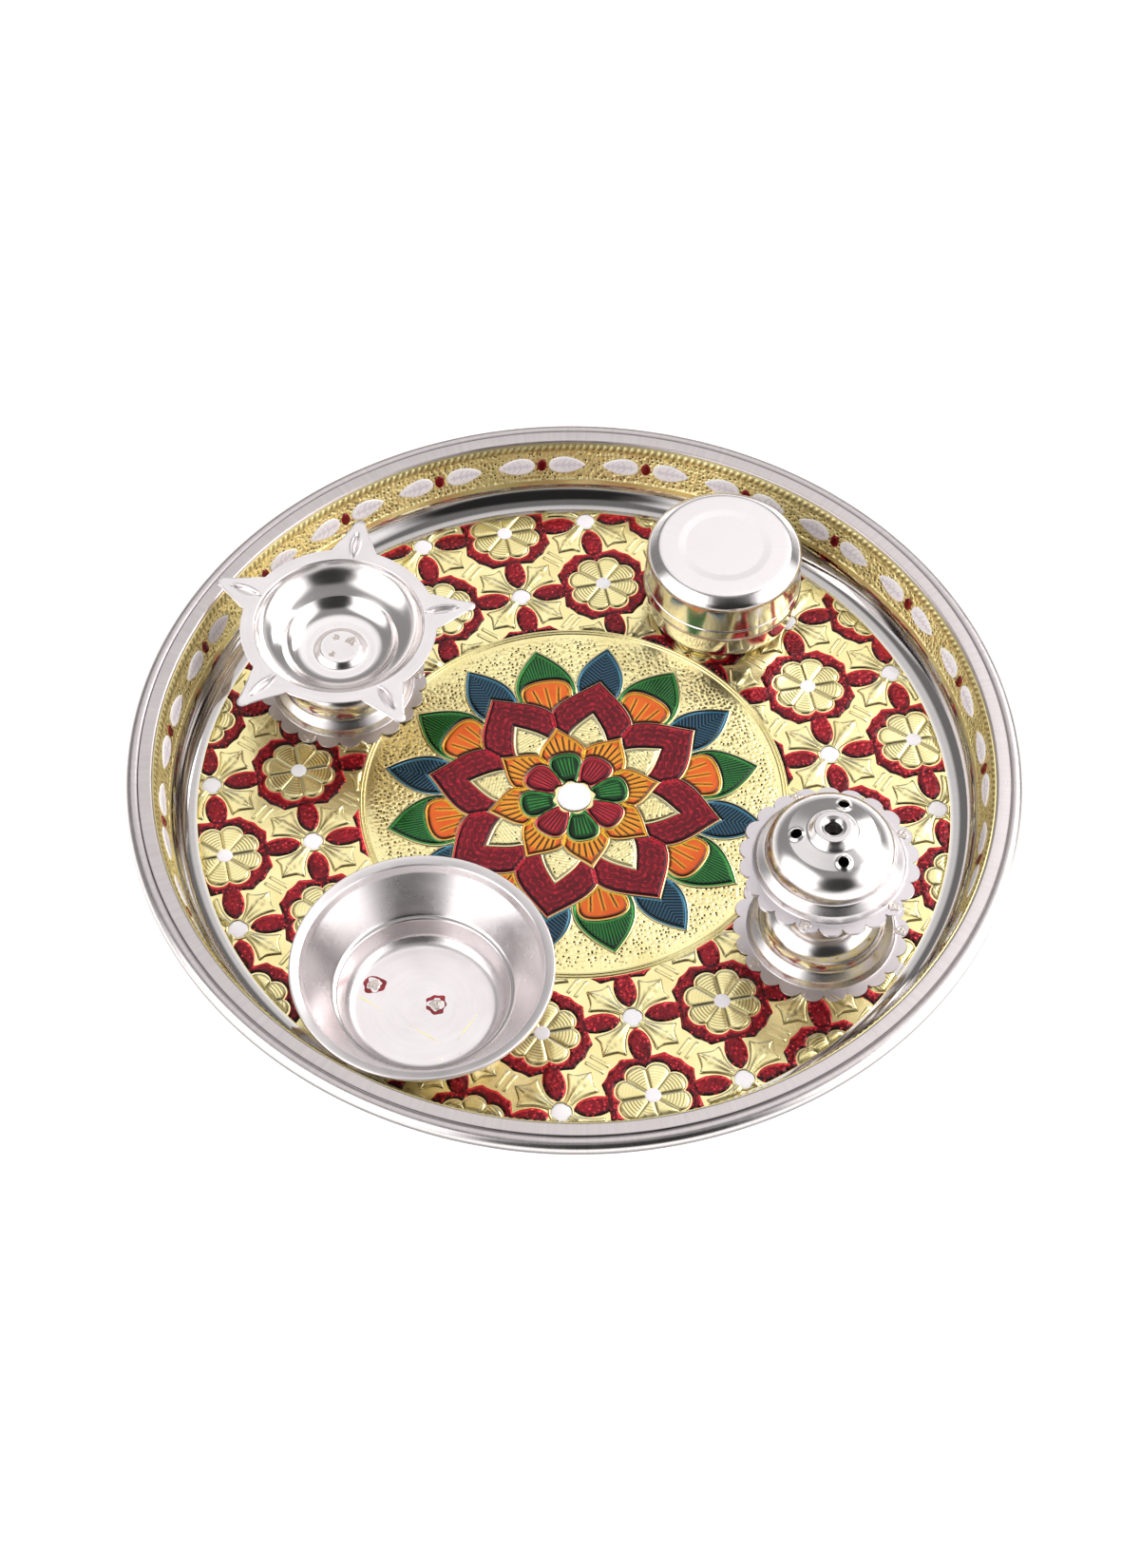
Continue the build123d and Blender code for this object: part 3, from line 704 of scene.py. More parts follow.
# A bowed run between two points: the straight line plus a parabola to its left, a share of its length high.
def bowed(a, b, share, steps=9):
    a, b = np.array(a, float), np.array(b, float)
    t = np.linspace(0, 1, steps)[:, None]
    left = np.array([a[1] - b[1], b[0] - a[0]])
    return a + (b - a) * t + left * share * 4 * t * (1 - t)


# Polish by radius: a start value plus steps, each a weight eased in between two radii.
def stepped(r, start, *steps):
    return start + sum(weight * ease(r, low, high) for weight, low, high in steps)


# A turned vessel: a section of one sheet below its line, carried round its axis. Polish comes from radius
# and height, other marks from the angle too, and flip is the height that it is turned over at.
def turnedVessel(name, line, node, steel, polishOf, body="tray", segments=256, bend=None, angles=None,
                 axis=None, flip=None, fine=None, marksOf=None):
    section = sheetLine(densed(np.array(line), vesselSize["step"], fine), vesselSheet)
    if section[0, 0] > 0.01:
        section = np.concatenate([section, section[:1]])
    axis = axisOf(node) if axis is None else axis
    grid, a, r, z = turnedGrid(section, segments, axis, bend, angles)
    grid["fields"] = {"polish": polishOf(r, z)}
    if marksOf is not None:
        grid["fields"].update(marksOf(a, r, z))
    if flip is not None:
        grid["points"][:, 2] = flip - grid["points"][:, 2]
        grid["quads"] = grid["quads"][:, ::-1]
    grid["points"][:, 2] += seat
    return addPiece(name, grid, [finish[steel]], (node,), body)


# The bowl's line as radius and height, with the bend at each inner point.
katoriSize = {
    "line": ((0, vesselSheet), (22.0, 0.5), (24.2, 2.7), (26.1, 8.4), (27.4, 8.8), (35.6, 20.2),
             (36.6, 22.5), (39.7, 23.4), (39.7, 22.1)),
    "bends": (4.0, 3.0, 0.9, 1.6, 5.0, 0.9, 0.8),
    "polish": (0.0, (0.3, 21, 24), (-0.2, 36, 36.8)),
    "ledgeGloss": (0.3, 26.8, 1.2),
    "segments": 288,
}


# The open bowl: a turned sheet with a ledge low in its wall and a flat lip, brighter on the ledge.
def katoriBowl():
    k = katoriSize
    gloss, middle, width = k["ledgeGloss"]
    polish = lambda r, z: stepped(r, *k["polish"]) + gloss * bell(r, middle, width)
    turnedVessel("katoriBowl", roundedLine(k["line"], k["bends"], 9), "katori", "bowlSteel", polish,
                 segments=k["segments"])


boxSize = {
    "radius": 24.5, "height": 26.6, "corner": 4.5, "lidTop": 30.1, "lidFoot": 11.8, "band": 5.0,
    "bandStep": 0.35, "clearance": 0.25, "topRadius": 21.4, "shoulder": 2.7, "recess": 12.6,
    "recessDepth": 0.16, "recessSlope": 2.6, "edge": 0.3, "edgeHeights": (1.4, 0.7),
    "lidBends": (3.0, 3.0, 2.5, 3.0, 0.4, 0.3, 0.4, 0.5), "bodyPolish": (0.0, (0.8, 18, 22)),
    "lidPolish": (-0.12, (0.87, 20.8, 22.2)), "topPolish": (0.0, (0.17, 26.5, 27.5)),
}


# The box: a turned cup, and over it a lid with a sunk top, a rounded shoulder and a band at its foot that
# ends in a fine bead. The lid is frosted on top and polished on its side.
def boxPieces():
    b = boxSize
    inside = b["radius"] - vesselSheet
    line = roundedLine([(0, vesselSheet), (inside, vesselSheet), (inside, b["height"])], (b["corner"],), 12)
    turnedVessel("boxBody", line, "box_body", "lidSteel", lambda r, z: stepped(r, *b["bodyPolish"]))
    side = b["radius"] + b["clearance"] + vesselSheet
    wide = side + b["bandStep"]
    top, foot = b["lidTop"], b["lidFoot"]
    low, band = top - b["recessDepth"], foot + b["band"]
    points = [(0, low), (b["recess"], low), (b["recess"] + b["recessSlope"], top), (b["topRadius"], top)]
    points += [(side, top - b["shoulder"]), (side, band), (wide, band - b["bandStep"])]
    high, bead = b["edgeHeights"]
    points += [(wide, foot + high), (wide + b["edge"], foot + bead), (wide, foot)]
    polish = lambda r, z: stepped(r, *b["lidPolish"]) + stepped(z, *b["topPolish"])
    turnedVessel("boxLid", roundedLine(points, b["lidBends"], 9), "box_lid", "lidSteel", polish, "lid")


hatSize = {
    "height": 18.05, "boss": 5.74, "bossRise": 2.6, "bossFlare": 1.8, "plateau": (13.2, 13.9),
    "domeFoot": (19.5, 5.0), "ring": (22.0, 2.9), "ringFlare": 0.85, "bulge": 0.17, "flange": 27.0,
    "scallop": 2.2, "scallops": 22, "footTurn": 12.0, "dishTurn": 3.0, "capTurn": 2.3, "stickHole": 2.4,
    "stickRim": ((0.0, 1.1), (0.5, 0.5), (1.5, 0.0)), "sideHole": 1.6, "sideRing": 10.9, "sideDrop": 2.4,
    "sideBearings": (58.0, 171.0, 272.0), "burr": 0.5, "burrWidth": 0.7, "bossFrost": 0.7, "ringBrown": 0.9,
    "flangeFrontReflection": 0.6, "polish": (0.85, (-0.45, 19.6, 20.2), (-0.4, 22.6, 23.4)),
}


# The hat's flange drawn out in scallops: beyond the ring, radius grows to a crest less a flattened arc of
# the angle from the nearest crest.
def scalloped(turn):
    h = hatSize
    foot = h["ring"][0] + h["ringFlare"]

    def bend(a, r, z):
        off = ((a - np.radians(turn)) / (tau / h["scallops"])) % 1.0 - 0.5
        edge = h["flange"] - h["scallop"] * (1 - np.sqrt(1 - 0.92 * (2 * off) ** 2)) / 0.717
        return np.where(r > foot, foot + (r - foot) * (edge - foot) / (h["flange"] - foot), r), z

    return bend


# The hat's line from the axis or the stick hole's rim: boss, plateau, bowed dome, ring and flange.
def hatLine(holed):
    h = hatSize
    rim = h["stickRim"] if holed else ((-h["stickHole"], 0.0),)
    top = [(h["stickHole"] + out, h["height"] - down) for out, down in rim]
    bossFoot = (h["boss"] + h["bossFlare"], h["height"] - h["bossRise"])
    dome = bowed(h["plateau"], h["domeFoot"], h["bulge"], 17).tolist()
    foot = [h["ring"], (h["ring"][0] + h["ringFlare"], vesselSheet), (h["flange"], vesselSheet)]
    points = top + [(h["boss"], h["height"]), bossFoot] + dome + foot
    radii = [0.4] * (len(top) - 1) + [0.7, 1.6, 0.4] + [0.0] * (len(dome) - 2) + [1.2, 1.4, 0.6]
    return roundedLine(points, radii, 6)


# Distance from the middle of the nearest side hole, seen from above.
def holeGap(a, r):
    h = hatSize
    x, y = polar(r, a)
    spots = [polar(h["sideRing"], b) for b in np.radians(h["sideBearings"])]
    return np.min([np.hypot(x - sx, y - sy) for sx, sy in spots], axis=0)


# Punched holes in the cap: corners inside a hole drop through, and those near its edge rise in a burr.
def pierced(scallops):
    h = hatSize

    def bend(a, r, z):
        r, z = scallops(a, r, z)
        gap = holeGap(a, r)
        top = z > 12
        burr = top * h["burr"] * bell(gap, h["sideHole"], h["burrWidth"])
        return r, np.where(top & (gap < h["sideHole"]), z - h["sideDrop"], z + burr)

    return bend


# Polished but for the ring, the flange and the boss's top.
def hatPolish(r, z):
    top = ease(r, 3.8, 4.1) * (1 - ease(r, 5.2, 5.8)) * ease(z, 17.4, 17.9)
    return stepped(r, *hatSize["polish"]) - hatSize["bossFrost"] * top


# A brown tint in the ring at the dome's foot, a painted brown reflection on the front side of a foot's
# flange, and painted shade in the punched holes.
def hatMarks(frontReflection):
    h = hatSize

    def marks(a, r, z):
        drop = (holeGap(a, r) < h["sideHole"]) & (z < 12.6) & (z > 8)
        ring = h["ringBrown"] * bell(r, h["domeFoot"][0] + 0.4, 1.1) * (z > 2)
        return {"heat": ring + frontReflection * (r > 23) * ease(-np.sin(a), 0.2, 0.9), "hole": drop * 1.0}

    return marks


# The lamp's foot and the incense stand: a foot, the same pressing turned over, and a pierced cap on top,
# with closer angles round the side holes.
def hats():
    h = hatSize
    pile = 2 * h["height"]
    whole = np.linspace(0, tau, 12 * h["scallops"] + 1)
    rows = (
        ("lampFoot", "lamp_foot", h["footTurn"], None, hatMarks(h["flangeFrontReflection"])),
        ("incenseFoot", "incense_foot", h["footTurn"], None, hatMarks(h["flangeFrontReflection"])),
        ("incenseDish", "incense_dish", h["dishTurn"], pile, None),
    )
    for name, node, turn, flip, marks in rows:
        turnedVessel(name, hatLine(False), node, "hatSteel", hatPolish, angles=whole + np.radians(turn),
                     bend=scalloped(turn), flip=flip, marksOf=marks)
    close = [np.arange(-0.3, 0.3, 0.0125) + np.radians(b) for b in h["sideBearings"]]
    angles = np.unique(np.round(np.concatenate([whole + np.radians(h["capTurn"])] + close), 4))
    cap = turnedVessel("incenseCap", hatLine(True), "incense_cap", "hatSteel", hatPolish, angles=angles,
                       bend=pierced(scalloped(h["capTurn"])), fine=(7.8, 13.4, 0.25), marksOf=hatMarks(0.0))
    cap.data.transform(Matrix.Translation((0, 0, pile * mm)))


lampSize = {
    "seat": 18.55, "seatRadius": 6.5, "seatFlare": 2.0, "floorDrop": 1.55, "floorRadius": 11.8,
    "stepRadius": 18.6, "stepRise": 4.3, "ledge": 1.1, "ledgeRise": 0.5, "bowl": 27.0, "depth": 12.6,
    "bulge": 0.12, "flange": 31.2, "spouts": 5, "spoutTurn": -1.0, "reach": 12.1, "spoutWidth": 14.6,
    "tipWidth": 3.8,
    "waistShares": ((0.3, 0.8), (0.62, 0.5)), "grooveStart": 28.4, "grooveLength": 10.0, "grooveWidth": 2.4,
    "grooveDepth": 1.1, "grooveLip": 0.18, "rimGroove": 26.75, "rimDepth": 0.9,
    "polish": (0.2, (0.6, 5.8, 6.4), (-0.6, 9.0, 9.6), (0.6, 10.8, 12.2), (-0.8, 26.9, 27.6)),
}


# One spout's edge as radius by angle from its middle: a round nose, then the concave side to the flange.
def spoutEdge():
    s = lampSize
    half, tip = s["spoutWidth"] / 2, s["tipWidth"] / 2
    foot = np.sqrt(s["flange"] ** 2 - half**2)
    blunt = s["flange"] + s["reach"] - tip
    ways = [(foot + a * (blunt - foot), o * half) for a, o in s["waistShares"]]
    side = cubic([(foot, half), *ways, (blunt, tip)], np.linspace(0, 1, 24))
    nose = stacked(*polar(tip, np.linspace(np.pi / 2, 0, 9)[1:])) + (blunt, 0)
    edge = np.concatenate([side, nose])[::-1]
    return np.arctan2(edge[:, 1], edge[:, 0]), np.hypot(edge[:, 0], edge[:, 1])


# The lamp's bowl: a raised seat, two bowed steps and a flange. Bend draws the flange out to the spouts'
# edge and presses a lens-shaped groove with a fine lip into each spout and a broken groove into the rim.
def lampBowl():
    s = lampSize
    floor = s["seat"] - s["floorDrop"]
    rim = floor + s["depth"]
    step = (s["stepRadius"], floor + s["stepRise"])
    ledge = (s["stepRadius"] + s["ledge"], step[1] + s["ledgeRise"])
    low = bowed((s["floorRadius"], floor), step, -s["bulge"], 11).tolist()
    high = bowed(ledge, (s["bowl"], rim), -s["bulge"], 15).tolist()
    points = [(0, s["seat"]), (s["seatRadius"], s["seat"]), (s["seatRadius"] + s["seatFlare"], floor)]
    radii = [0.9, 1.0, 1.2] + [0.0] * 9 + [0.8, 1.0] + [0.0] * 13 + [0.5]
    line = roundedLine(points + low + high + [(s["flange"], rim)], radii, 6)
    reach, edge = spoutEdge()
    pitch, turn = tau / s["spouts"], np.radians(s["spoutTurn"])
    near = np.concatenate([reach, np.linspace(reach[-1], pitch / 2, 9)[1:]])
    one = np.concatenate([-near[:0:-1], near])
    angles = [one[:-1] + k * pitch for k in range(s["spouts"])] + [one[:1] + tau]
    inner = s["bowl"] + 0.4

    def bend(a, r, z):
        off = (a - turn + pitch / 2) % pitch - pitch / 2
        limit = np.where(np.abs(off) < reach[-1], np.interp(np.abs(off), reach, edge), s["flange"])
        out = np.where(r > inner, inner + (r - inner) * (limit - inner) / (s["flange"] - inner), r)
        x, y = polar(out, off)
        x = x - s["grooveStart"] - s["grooveLength"] / 2
        wide = s["grooveWidth"] / 2 * np.clip(1 - (2 * x / s["grooveLength"]) ** 2, 0, 1)
        dip = np.clip(1 - (y / np.maximum(wide, 1e-6)) ** 2, 0, 1) * np.clip(wide / 0.6, 0, 1)
        lift = s["grooveLip"] * bell(np.abs(y), wide + 0.25, 0.3) * np.clip(wide / 0.5, 0, 1)
        broken = np.clip(1.3 * np.abs(np.cos(a - 0.3)) - 0.35 + 0.15 * np.sin(9 * a), 0, 1)
        split = s["rimDepth"] * bell(r, s["rimGroove"], 0.22) * broken * (z > rim - 2)
        return out, z + np.where(r > inner, lift - s["grooveDepth"] * dip, 0) - split

    polish = lambda r, z: stepped(r, *s["polish"])
    turnedVessel("lampBowl", line, "lamp_bowl", "bowlSteel", polish, bend=bend, axis=axisOf("lamp_foot"),
                 angles=np.concatenate(angles) + turn, fine=(26.1, 31.2, 0.24))


# Bearings of the welds on each flange, and where those in the bowls are.
weldSize = {
    "radius": 1.9, "rise": 0.3, "collar": 0.14, "ringIn": 2.1, "ringOut": 3.5, "flangeRing": 24.6,
    "katori": ((-13.5, 10.5), (3.6, -0.3)), "boxRing": 11.0, "box": (0, 180), "lampRing": 4.0,
    "lamp": (100, 220, 20), "lampScales": ((0.6, 1.0), (0.6, 1.0), (0.95, 2.0)), "lampFoot": (-125, -5, 115),
    "incenseFoot": (-160, -15, 105), "incenseCap": (-122, -54, 11, 99),
}


# A spot weld: a squashed nugget with a fine collar round it, its edge and height wobbling with the angle.
def weldGrid(x, y, z, seed, size=1.0, burn=0.5):
    w = weldSize
    t = np.linspace(0, 1, 9)
    a = np.linspace(0, tau, 29)
    wobble = 1 + 0.12 * np.sin(3 * a + seed) + 0.07 * np.sin(5 * a + 2 * seed)
    rx, ry = polar(size * w["radius"] * t[:, None] * wobble, a)
    ripple = 0.75 + 0.25 * np.sin(7 * t[:, None] + 2 * a + seed)
    high = w["rise"] * (1 - t**2)[:, None] * ripple + w["collar"] * bell(t, 0.8, 0.12)[:, None]
    high[0] = high[0].mean()
    high[-1] = -0.1
    heat = np.repeat(burn * (0.5 + bell(t, 0.75, 0.25)), len(a))
    grid = motif(stacked(x + rx, y + ry, z + high), gridFaces(len(t), len(a)))
    return {**grid, "fields": {"polish": np.full(len(heat), 0.3), "heat": heat}}


# A broken ring of burnt lacquer round a weld: its two edges wander with the angle and meet where it breaks.
def burntRing(x, y, z, seed):
    w = weldSize
    a = np.linspace(0, tau, 73)
    inner = w["ringIn"] + 0.25 * np.sin(4 * a + seed) + 0.12 * np.sin(9 * a + 2 * seed)
    outer = w["ringOut"] + 0.3 * np.sin(3 * a + 2 * seed) + 0.2 * np.sin(7 * a + seed)
    thin = np.clip(0.95 + 0.7 * np.sin(2 * a + 1.7 * seed) + 0.3 * np.sin(5 * a + seed), 0.05, 1)
    t = np.array([0, 0.08, 0.5, 0.92, 1.0])[:, None]
    high = np.array([-0.02, 0.03, 0.05, 0.03, -0.02])[:, None]
    rx, ry = polar(inner + (outer - inner) * (0.5 + (t - 0.5) * thin), a)
    return motif(stacked(x + rx, y + ry, z + high), gridFaces(*rx.shape))


# The welds of each pressing, set out round its axis, and the burnt lacquer round the bowl's two.
def weldPieces():
    w = weldSize
    around = lambda ring, bearings: [polar(ring, b) for b in np.radians(bearings)]
    flange = lambda key: around(w["flangeRing"], w[key])
    lampSpots = [(*spot, *scale) for spot, scale in zip(around(w["lampRing"], w["lamp"]), w["lampScales"])]
    top = 2 * hatSize["height"] + vesselSheet
    makes = [
        ("katoriWelds", "katori_welds", "katori", vesselSheet, w["katori"]),
        ("boxWelds", "box_welds", "box_body", vesselSheet, around(w["boxRing"], w["box"])),
        ("lampWelds", "lamp_bowl_welds", "lamp_foot", lampSize["seat"], lampSpots),
        ("lampFootWelds", "lamp_foot_welds", "lamp_foot", vesselSheet, flange("lampFoot")),
        ("incenseFootWelds", "incense_foot_welds", "incense_foot", vesselSheet, flange("incenseFoot")),
        ("incenseCapWelds", "incense_cap_welds", "incense_foot", top, flange("incenseCap")),
    ]
    for name, node, carrier, high, spots in makes:
        ax, ay = axisOf(carrier)
        welds = [weldGrid(ax + x, ay + y, seat + high, 1.3 * k + len(name), *scale)
                 for k, (x, y, *scale) in enumerate(spots)]
        addPiece(name, gather(welds), [finish["weldSteel"]], (node,))
        if name == "katoriWelds":
            burns = [burntRing(ax + x, ay + y, seat + high, 2.1 * k + 1) for k, (x, y) in enumerate(spots)]
            addPiece("katoriBurns", gather(burns), [finish["burntLacquer"]])


katoriBowl()
boxPieces()
hats()
lampBowl()
weldPieces()
print("vessels made")

# Floor foil and medallion

# Heights and widths of the foil's relief. Inset gives the depths of a petal's columns inside its flange.
# Tint sets the painted highlight on a flange's inner slope, and the crease shade settings set the painted
# shade line just inside the flange.
reliefLook = {
    "ground": 0.7, "base": 0.74, "layer": 0.07, "flange": 0.9, "ridge": 0.18, "skirt": 0.12, "bevel": 1.0,
    "rise": 0.36, "sink": 0.06, "bare": 0.45, "inset": (0.2, 0.4, 0.7, 1.2), "rowStep": 0.36,
    "colStep": 0.42, "flangeCols": 2, "tint": 0.7, "ink": 0.95, "creaseShadePlace": (0.42, 0.38),
}
foilLook = {
    "under": 0.61, "ringIn": 66.1, "ringOut": 68.0, "ringRise": 0.4, "stippleIn": 30.0, "stippleOut": 65.8,
    "segments": 288,
}


# The floor foil: a flat disc with two fine ridges round the medallion, each a power of a sine.
def floorFoil():
    f = foilLook
    inner, outer = f["ringIn"], f["ringOut"]
    spans = ((0, inner - 0.3, 20), (inner - 0.2, outer + 0.2, 24), (outer + 0.4, foilRadius, 20))
    r = np.concatenate([np.linspace(*span) for span in spans])
    t = (r - inner) / (outer - inner)
    ridge = np.where((t > 0) & (t < 1), np.abs(np.sin(tau * t)) ** 0.7, 0)
    upper = np.stack([r, reliefLook["ground"] + f["ringRise"] * ridge], -1)
    section = np.concatenate([upper, [[foilRadius, f["under"]], [0, f["under"]]]])
    grid, a, r, z = turnedGrid(section, f["segments"])
    first, last = f["stippleIn"], f["stippleOut"]
    stipple = ease(r, first, first + 1) * (1 - ease(r, last - 0.6, last))
    foil = motif(grid["points"], grid["quads"], stipple=stipple)
    addPiece("floorFoil", foil, [finish["giltFoil"]], ("floor_foil",), sharp=35)


# One side of a petal: a cubic curve from foot to tip, in shares of length and half width, evenly divided.
def petalSide(look, step):
    foot, long, half = look["foot"], look["tip"] - look["foot"], look["width"] / 2
    points = [(foot + a * long, o * half) for a, o in look["shares"]]
    fine = cubic(points, np.linspace(0, 1, 500))
    run = runOf(fine)
    marks = np.linspace(0, run[-1], max(8, int(run[-1] / step)))
    return np.stack([np.interp(marks, run, fine[:, k]) for k in (0, 1)], -1)


# A petal's closed outline: one side out and its mirror image back, turned to a bearing.
def petalOutline(look, turn=0.0):
    side = petalSide(look, 0.8)
    return turned(np.concatenate([side, side[::-1] * (1, -1)]), turn)


# Side points moved in by a depth, stopped where they meet the petal's middle line.
def insetSide(side, depth):
    q = side + depth * waysOf(side)[1]
    good = np.flatnonzero(q[:, 1] >= 0)
    first, last = good[0], good[-1]
    meet = lambda a, b: (a[0] + (b[0] - a[0]) * a[1] / (a[1] - b[1]), 0)
    if first > 0:
        q[:first] = meet(q[first - 1], q[first])
    if last < len(q) - 1:
        q[last + 1:] = meet(q[last], q[last + 1])
    return q


# A petal's grid: rows follow its side, columns go in over flange and bevel to the middle line and out again.
# Height is its layer, a fine ridge on the flange and a pillow inside, sunk where upper petals cover it. A
# neighbour in the same ring begins at the bisector, where the flange is cut.
def petalGrid(look, level, uppers):
    o = reliefLook
    flange, bare = look.get("flange", o["flange"]), o["bare"]
    side = petalSide(look, o["rowStep"])
    depths = [flange * share for share in (0, 0.15, bare, 0.85, 1.0)] + [flange + d for d in o["inset"]]
    cols = [insetSide(side, d) for d in depths]
    steps = int(np.ceil(look["width"] / 2 / o["colStep"]))
    cols += [cols[-1] * (1, 1 - s) for s in np.linspace(0, 1, steps + 1)[1:]]
    half = np.stack(cols, 1)
    grid = np.concatenate([half * (1, -1), half[:, -2::-1]], 1)
    rows, count = grid.shape[:2]
    p = grid.reshape(-1, 2)
    sector = np.radians(medallionSize["step"] / 2)
    limit = np.tan(sector) * p[:, 0]
    p[:, 1] = np.clip(p[:, 1], -limit, limit)
    cut = (limit - np.abs(p[:, 1])) * np.cos(sector) + 0.5 * flange
    own = np.minimum(insideOf(p, petalOutline(look)), cut)
    free = np.min([np.full(len(p), 99.0)] + [-insideOf(p, outline) for outline in uppers], axis=0)
    inside = np.minimum(own - flange, free)
    shares = flange * np.array([0, 0.15, bare, 0.95, 1.0])
    lip = np.interp(own, shares, [-o["skirt"], 0.02, o["ridge"], 0.01, 0.0])
    clear = ease(inside, 0.15, 0.6)
    stroke, rim, stipple = (mark * clear for mark in look["marks"](p[:, 0], p[:, 1], inside))
    z = lip + o["rise"] * pillow(inside, o["bevel"]) - 0.05 * stroke + 0.03 * rim
    z = np.where(free < 0, -o["sink"], z) + o["base"] + o["layer"] * level
    # Painted highlight on the flange's inner slope, where no upper petal covers it.
    edge = ease(own, bare * flange, 0.6 * flange) * (1 - ease(own, flange, flange + 0.2)) * (free > 0)
    # Painted shade: a dark line just inside the flange, all round the petal.
    creaseShadeLine = o["ink"] * look.get("ink", 1.0) * bell(inside, *o["creaseShadePlace"]) * (own > flange)
    stroke = np.maximum(stroke * (own > flange), creaseShadeLine)
    rim = np.maximum(rim, o["tint"] * edge)
    made = motif(np.column_stack([p, z]), gridFaces(rows, count), stroke=stroke, rim=rim, stipple=stipple,
                 hatch=look.get("hatch", 0.0) * clear, run=p[:, 0])
    col = np.arange(count - 1)
    bareCol = (col < o["flangeCols"]) | (col >= count - 1 - o["flangeCols"])
    return {**made, "finishOf": np.tile(bareCol, rows - 1).astype(int)}


# Even strokes that fan out from an apex on the middle line between two radii, dark with a glint, or pale.
def fanMarks(apex, count, halfAngle, start, end, width, pale=False):
    def marks(x, y, inside):
        a, r = np.arctan2(y, x - apex), np.hypot(x - apex, y)
        half = np.radians(halfAngle)
        pitch = 2 * half / (count - 1)
        k = np.clip(np.round((a + half) / pitch), 0, count - 1)
        off = np.abs(a + half - k * pitch) * r
        body = ease(r, start, start + 0.6) * (1 - ease(r, end - 1.2, end))
        line = body * (1 - ease(off, width * 0.4, width))
        glint = 0.5 * body * bell(off, width * 1.3, width * 0.5)
        return (0 * x, 0.45 * line, 0 * x) if pale else (line, glint, 0 * x)

    return marks


# Slanting pale lines on both sides of a dark middle vein.
def featherMarks(pitch, slant, width):
    def marks(x, y, inside):
        s = (x - slant * np.abs(y)) / pitch
        off = np.abs(s - np.round(s)) * pitch
        vein = 1 - ease(np.abs(y), 0.15, 0.4)
        return vein * 0.5, (1 - ease(off, width * 0.4, width)) * 0.36, 0 * x

    return marks


# Rows of short wavy strokes that follow the petal's edge, each with a painted highlight crescent beside it.
def waveMarks(row, length, width):
    def marks(x, y, inside):
        number = np.floor(inside / row)
        u = (x + number * length * 0.45 + (y > 0) * length * 0.3) / length
        u = u - np.round(u)
        off = inside - (number + 0.5) * row + 0.5 * np.cos(tau * u) - 0.1
        body = (1 - ease(np.abs(u), 0.3, 0.45)) * (inside > 0.8)
        line = 0.35 * body * (1 - ease(np.abs(off), width * 0.4, width))
        return line, 0.6 * body * bell(off, width * 1.2, width * 0.5), 0 * x

    return marks


# Stipple all over.
def stippleMarks(x, y, inside):
    return 0 * x, 0 * x, 1.0 + 0 * x


# Rings from the lowest up. A petal's shares are its side's control points by length and half width.
leafShares = ((0, 0.3), (0.42, 1.6), (0.74, 0.85), (1, 0))
medallionSize = {
    "step": 45.0,
    "centre": 5.4,
    "centreRise": 0.55,
    "edges": (0.95, 0.85, 0.04, 0.18),
    "rings": {
        "blue": {"foot": 34.0, "tip": 62.0, "width": 16.0, "flange": 1.4, "turn": 22.5, "shares": leafShares,
                 "marks": featherMarks(1.3, 0.7, 0.3)},
        "green": {"foot": 30.0, "tip": 60.8, "width": 20.4, "flange": 1.4, "turn": 0.0, "shares": leafShares,
                  "marks": fanMarks(14.0, 21, 14.0, 31.0, 44.0, 0.24, True)},
        "fan": {"foot": 26.0, "tip": 47.9, "width": 16.8, "turn": 0.0,
                "shares": ((0, 0.05), (0.4, 0.75), (1, 1.85), (1, 0)),
                "marks": fanMarks(24.0, 5, 24.0, 11.0, 21.0, 0.42)},
        "maroon": {"foot": 14.0, "tip": 47.4, "width": 25.4, "turn": 22.5, "marks": waveMarks(1.9, 3.0, 0.42),
                   "shares": ((0, 0.3), (0.52, 1.85), (0.72, 0.72), (1, 0))},
        "gold": {"foot": 12.0, "tip": 34.2, "width": 13.5, "turn": 22.5, "hatch": 0.35, "ink": 0.3,
                 "shares": ((0, 0.7), (0.48, 1.5), (0.72, 0.7), (1, 0)), "marks": stippleMarks},
        "orange": {"foot": 8.5, "tip": 28.4, "width": 13.2, "turn": 0.0,
                   "shares": ((0, 0.5), (0.5, 2.05), (0.7, 0.6), (1, 0)),
                   "marks": fanMarks(6.0, 6, 18.0, 10.0, 18.5, 0.5)},
        "inner": {"foot": 5.6, "tip": 17.6, "width": 10.8, "turn": 0.0,
                  "shares": ((0, 0.42), (0.36, 1.05), (1, 1.5), (1, 0)),
                  "marks": fanMarks(-4.0, 4, 6.0, 12.0, 19.6, 0.36)},
    },
}


# A low round boss: height falls as a power of the square root of what is left of the squared radius.
def dome(radius, rise, base, rings=8, segments=48):
    r = radius * np.sin(np.linspace(0, np.pi / 2, rings))
    z = base + rise * np.sqrt(np.clip(1 - (r / radius) ** 2, 0, 1)) ** 0.8
    grid = turnedGrid(np.concatenate([np.stack([r, z], -1), [[radius, base - 0.1]]]), segments)[0]
    return motif(grid["points"], grid["quads"])


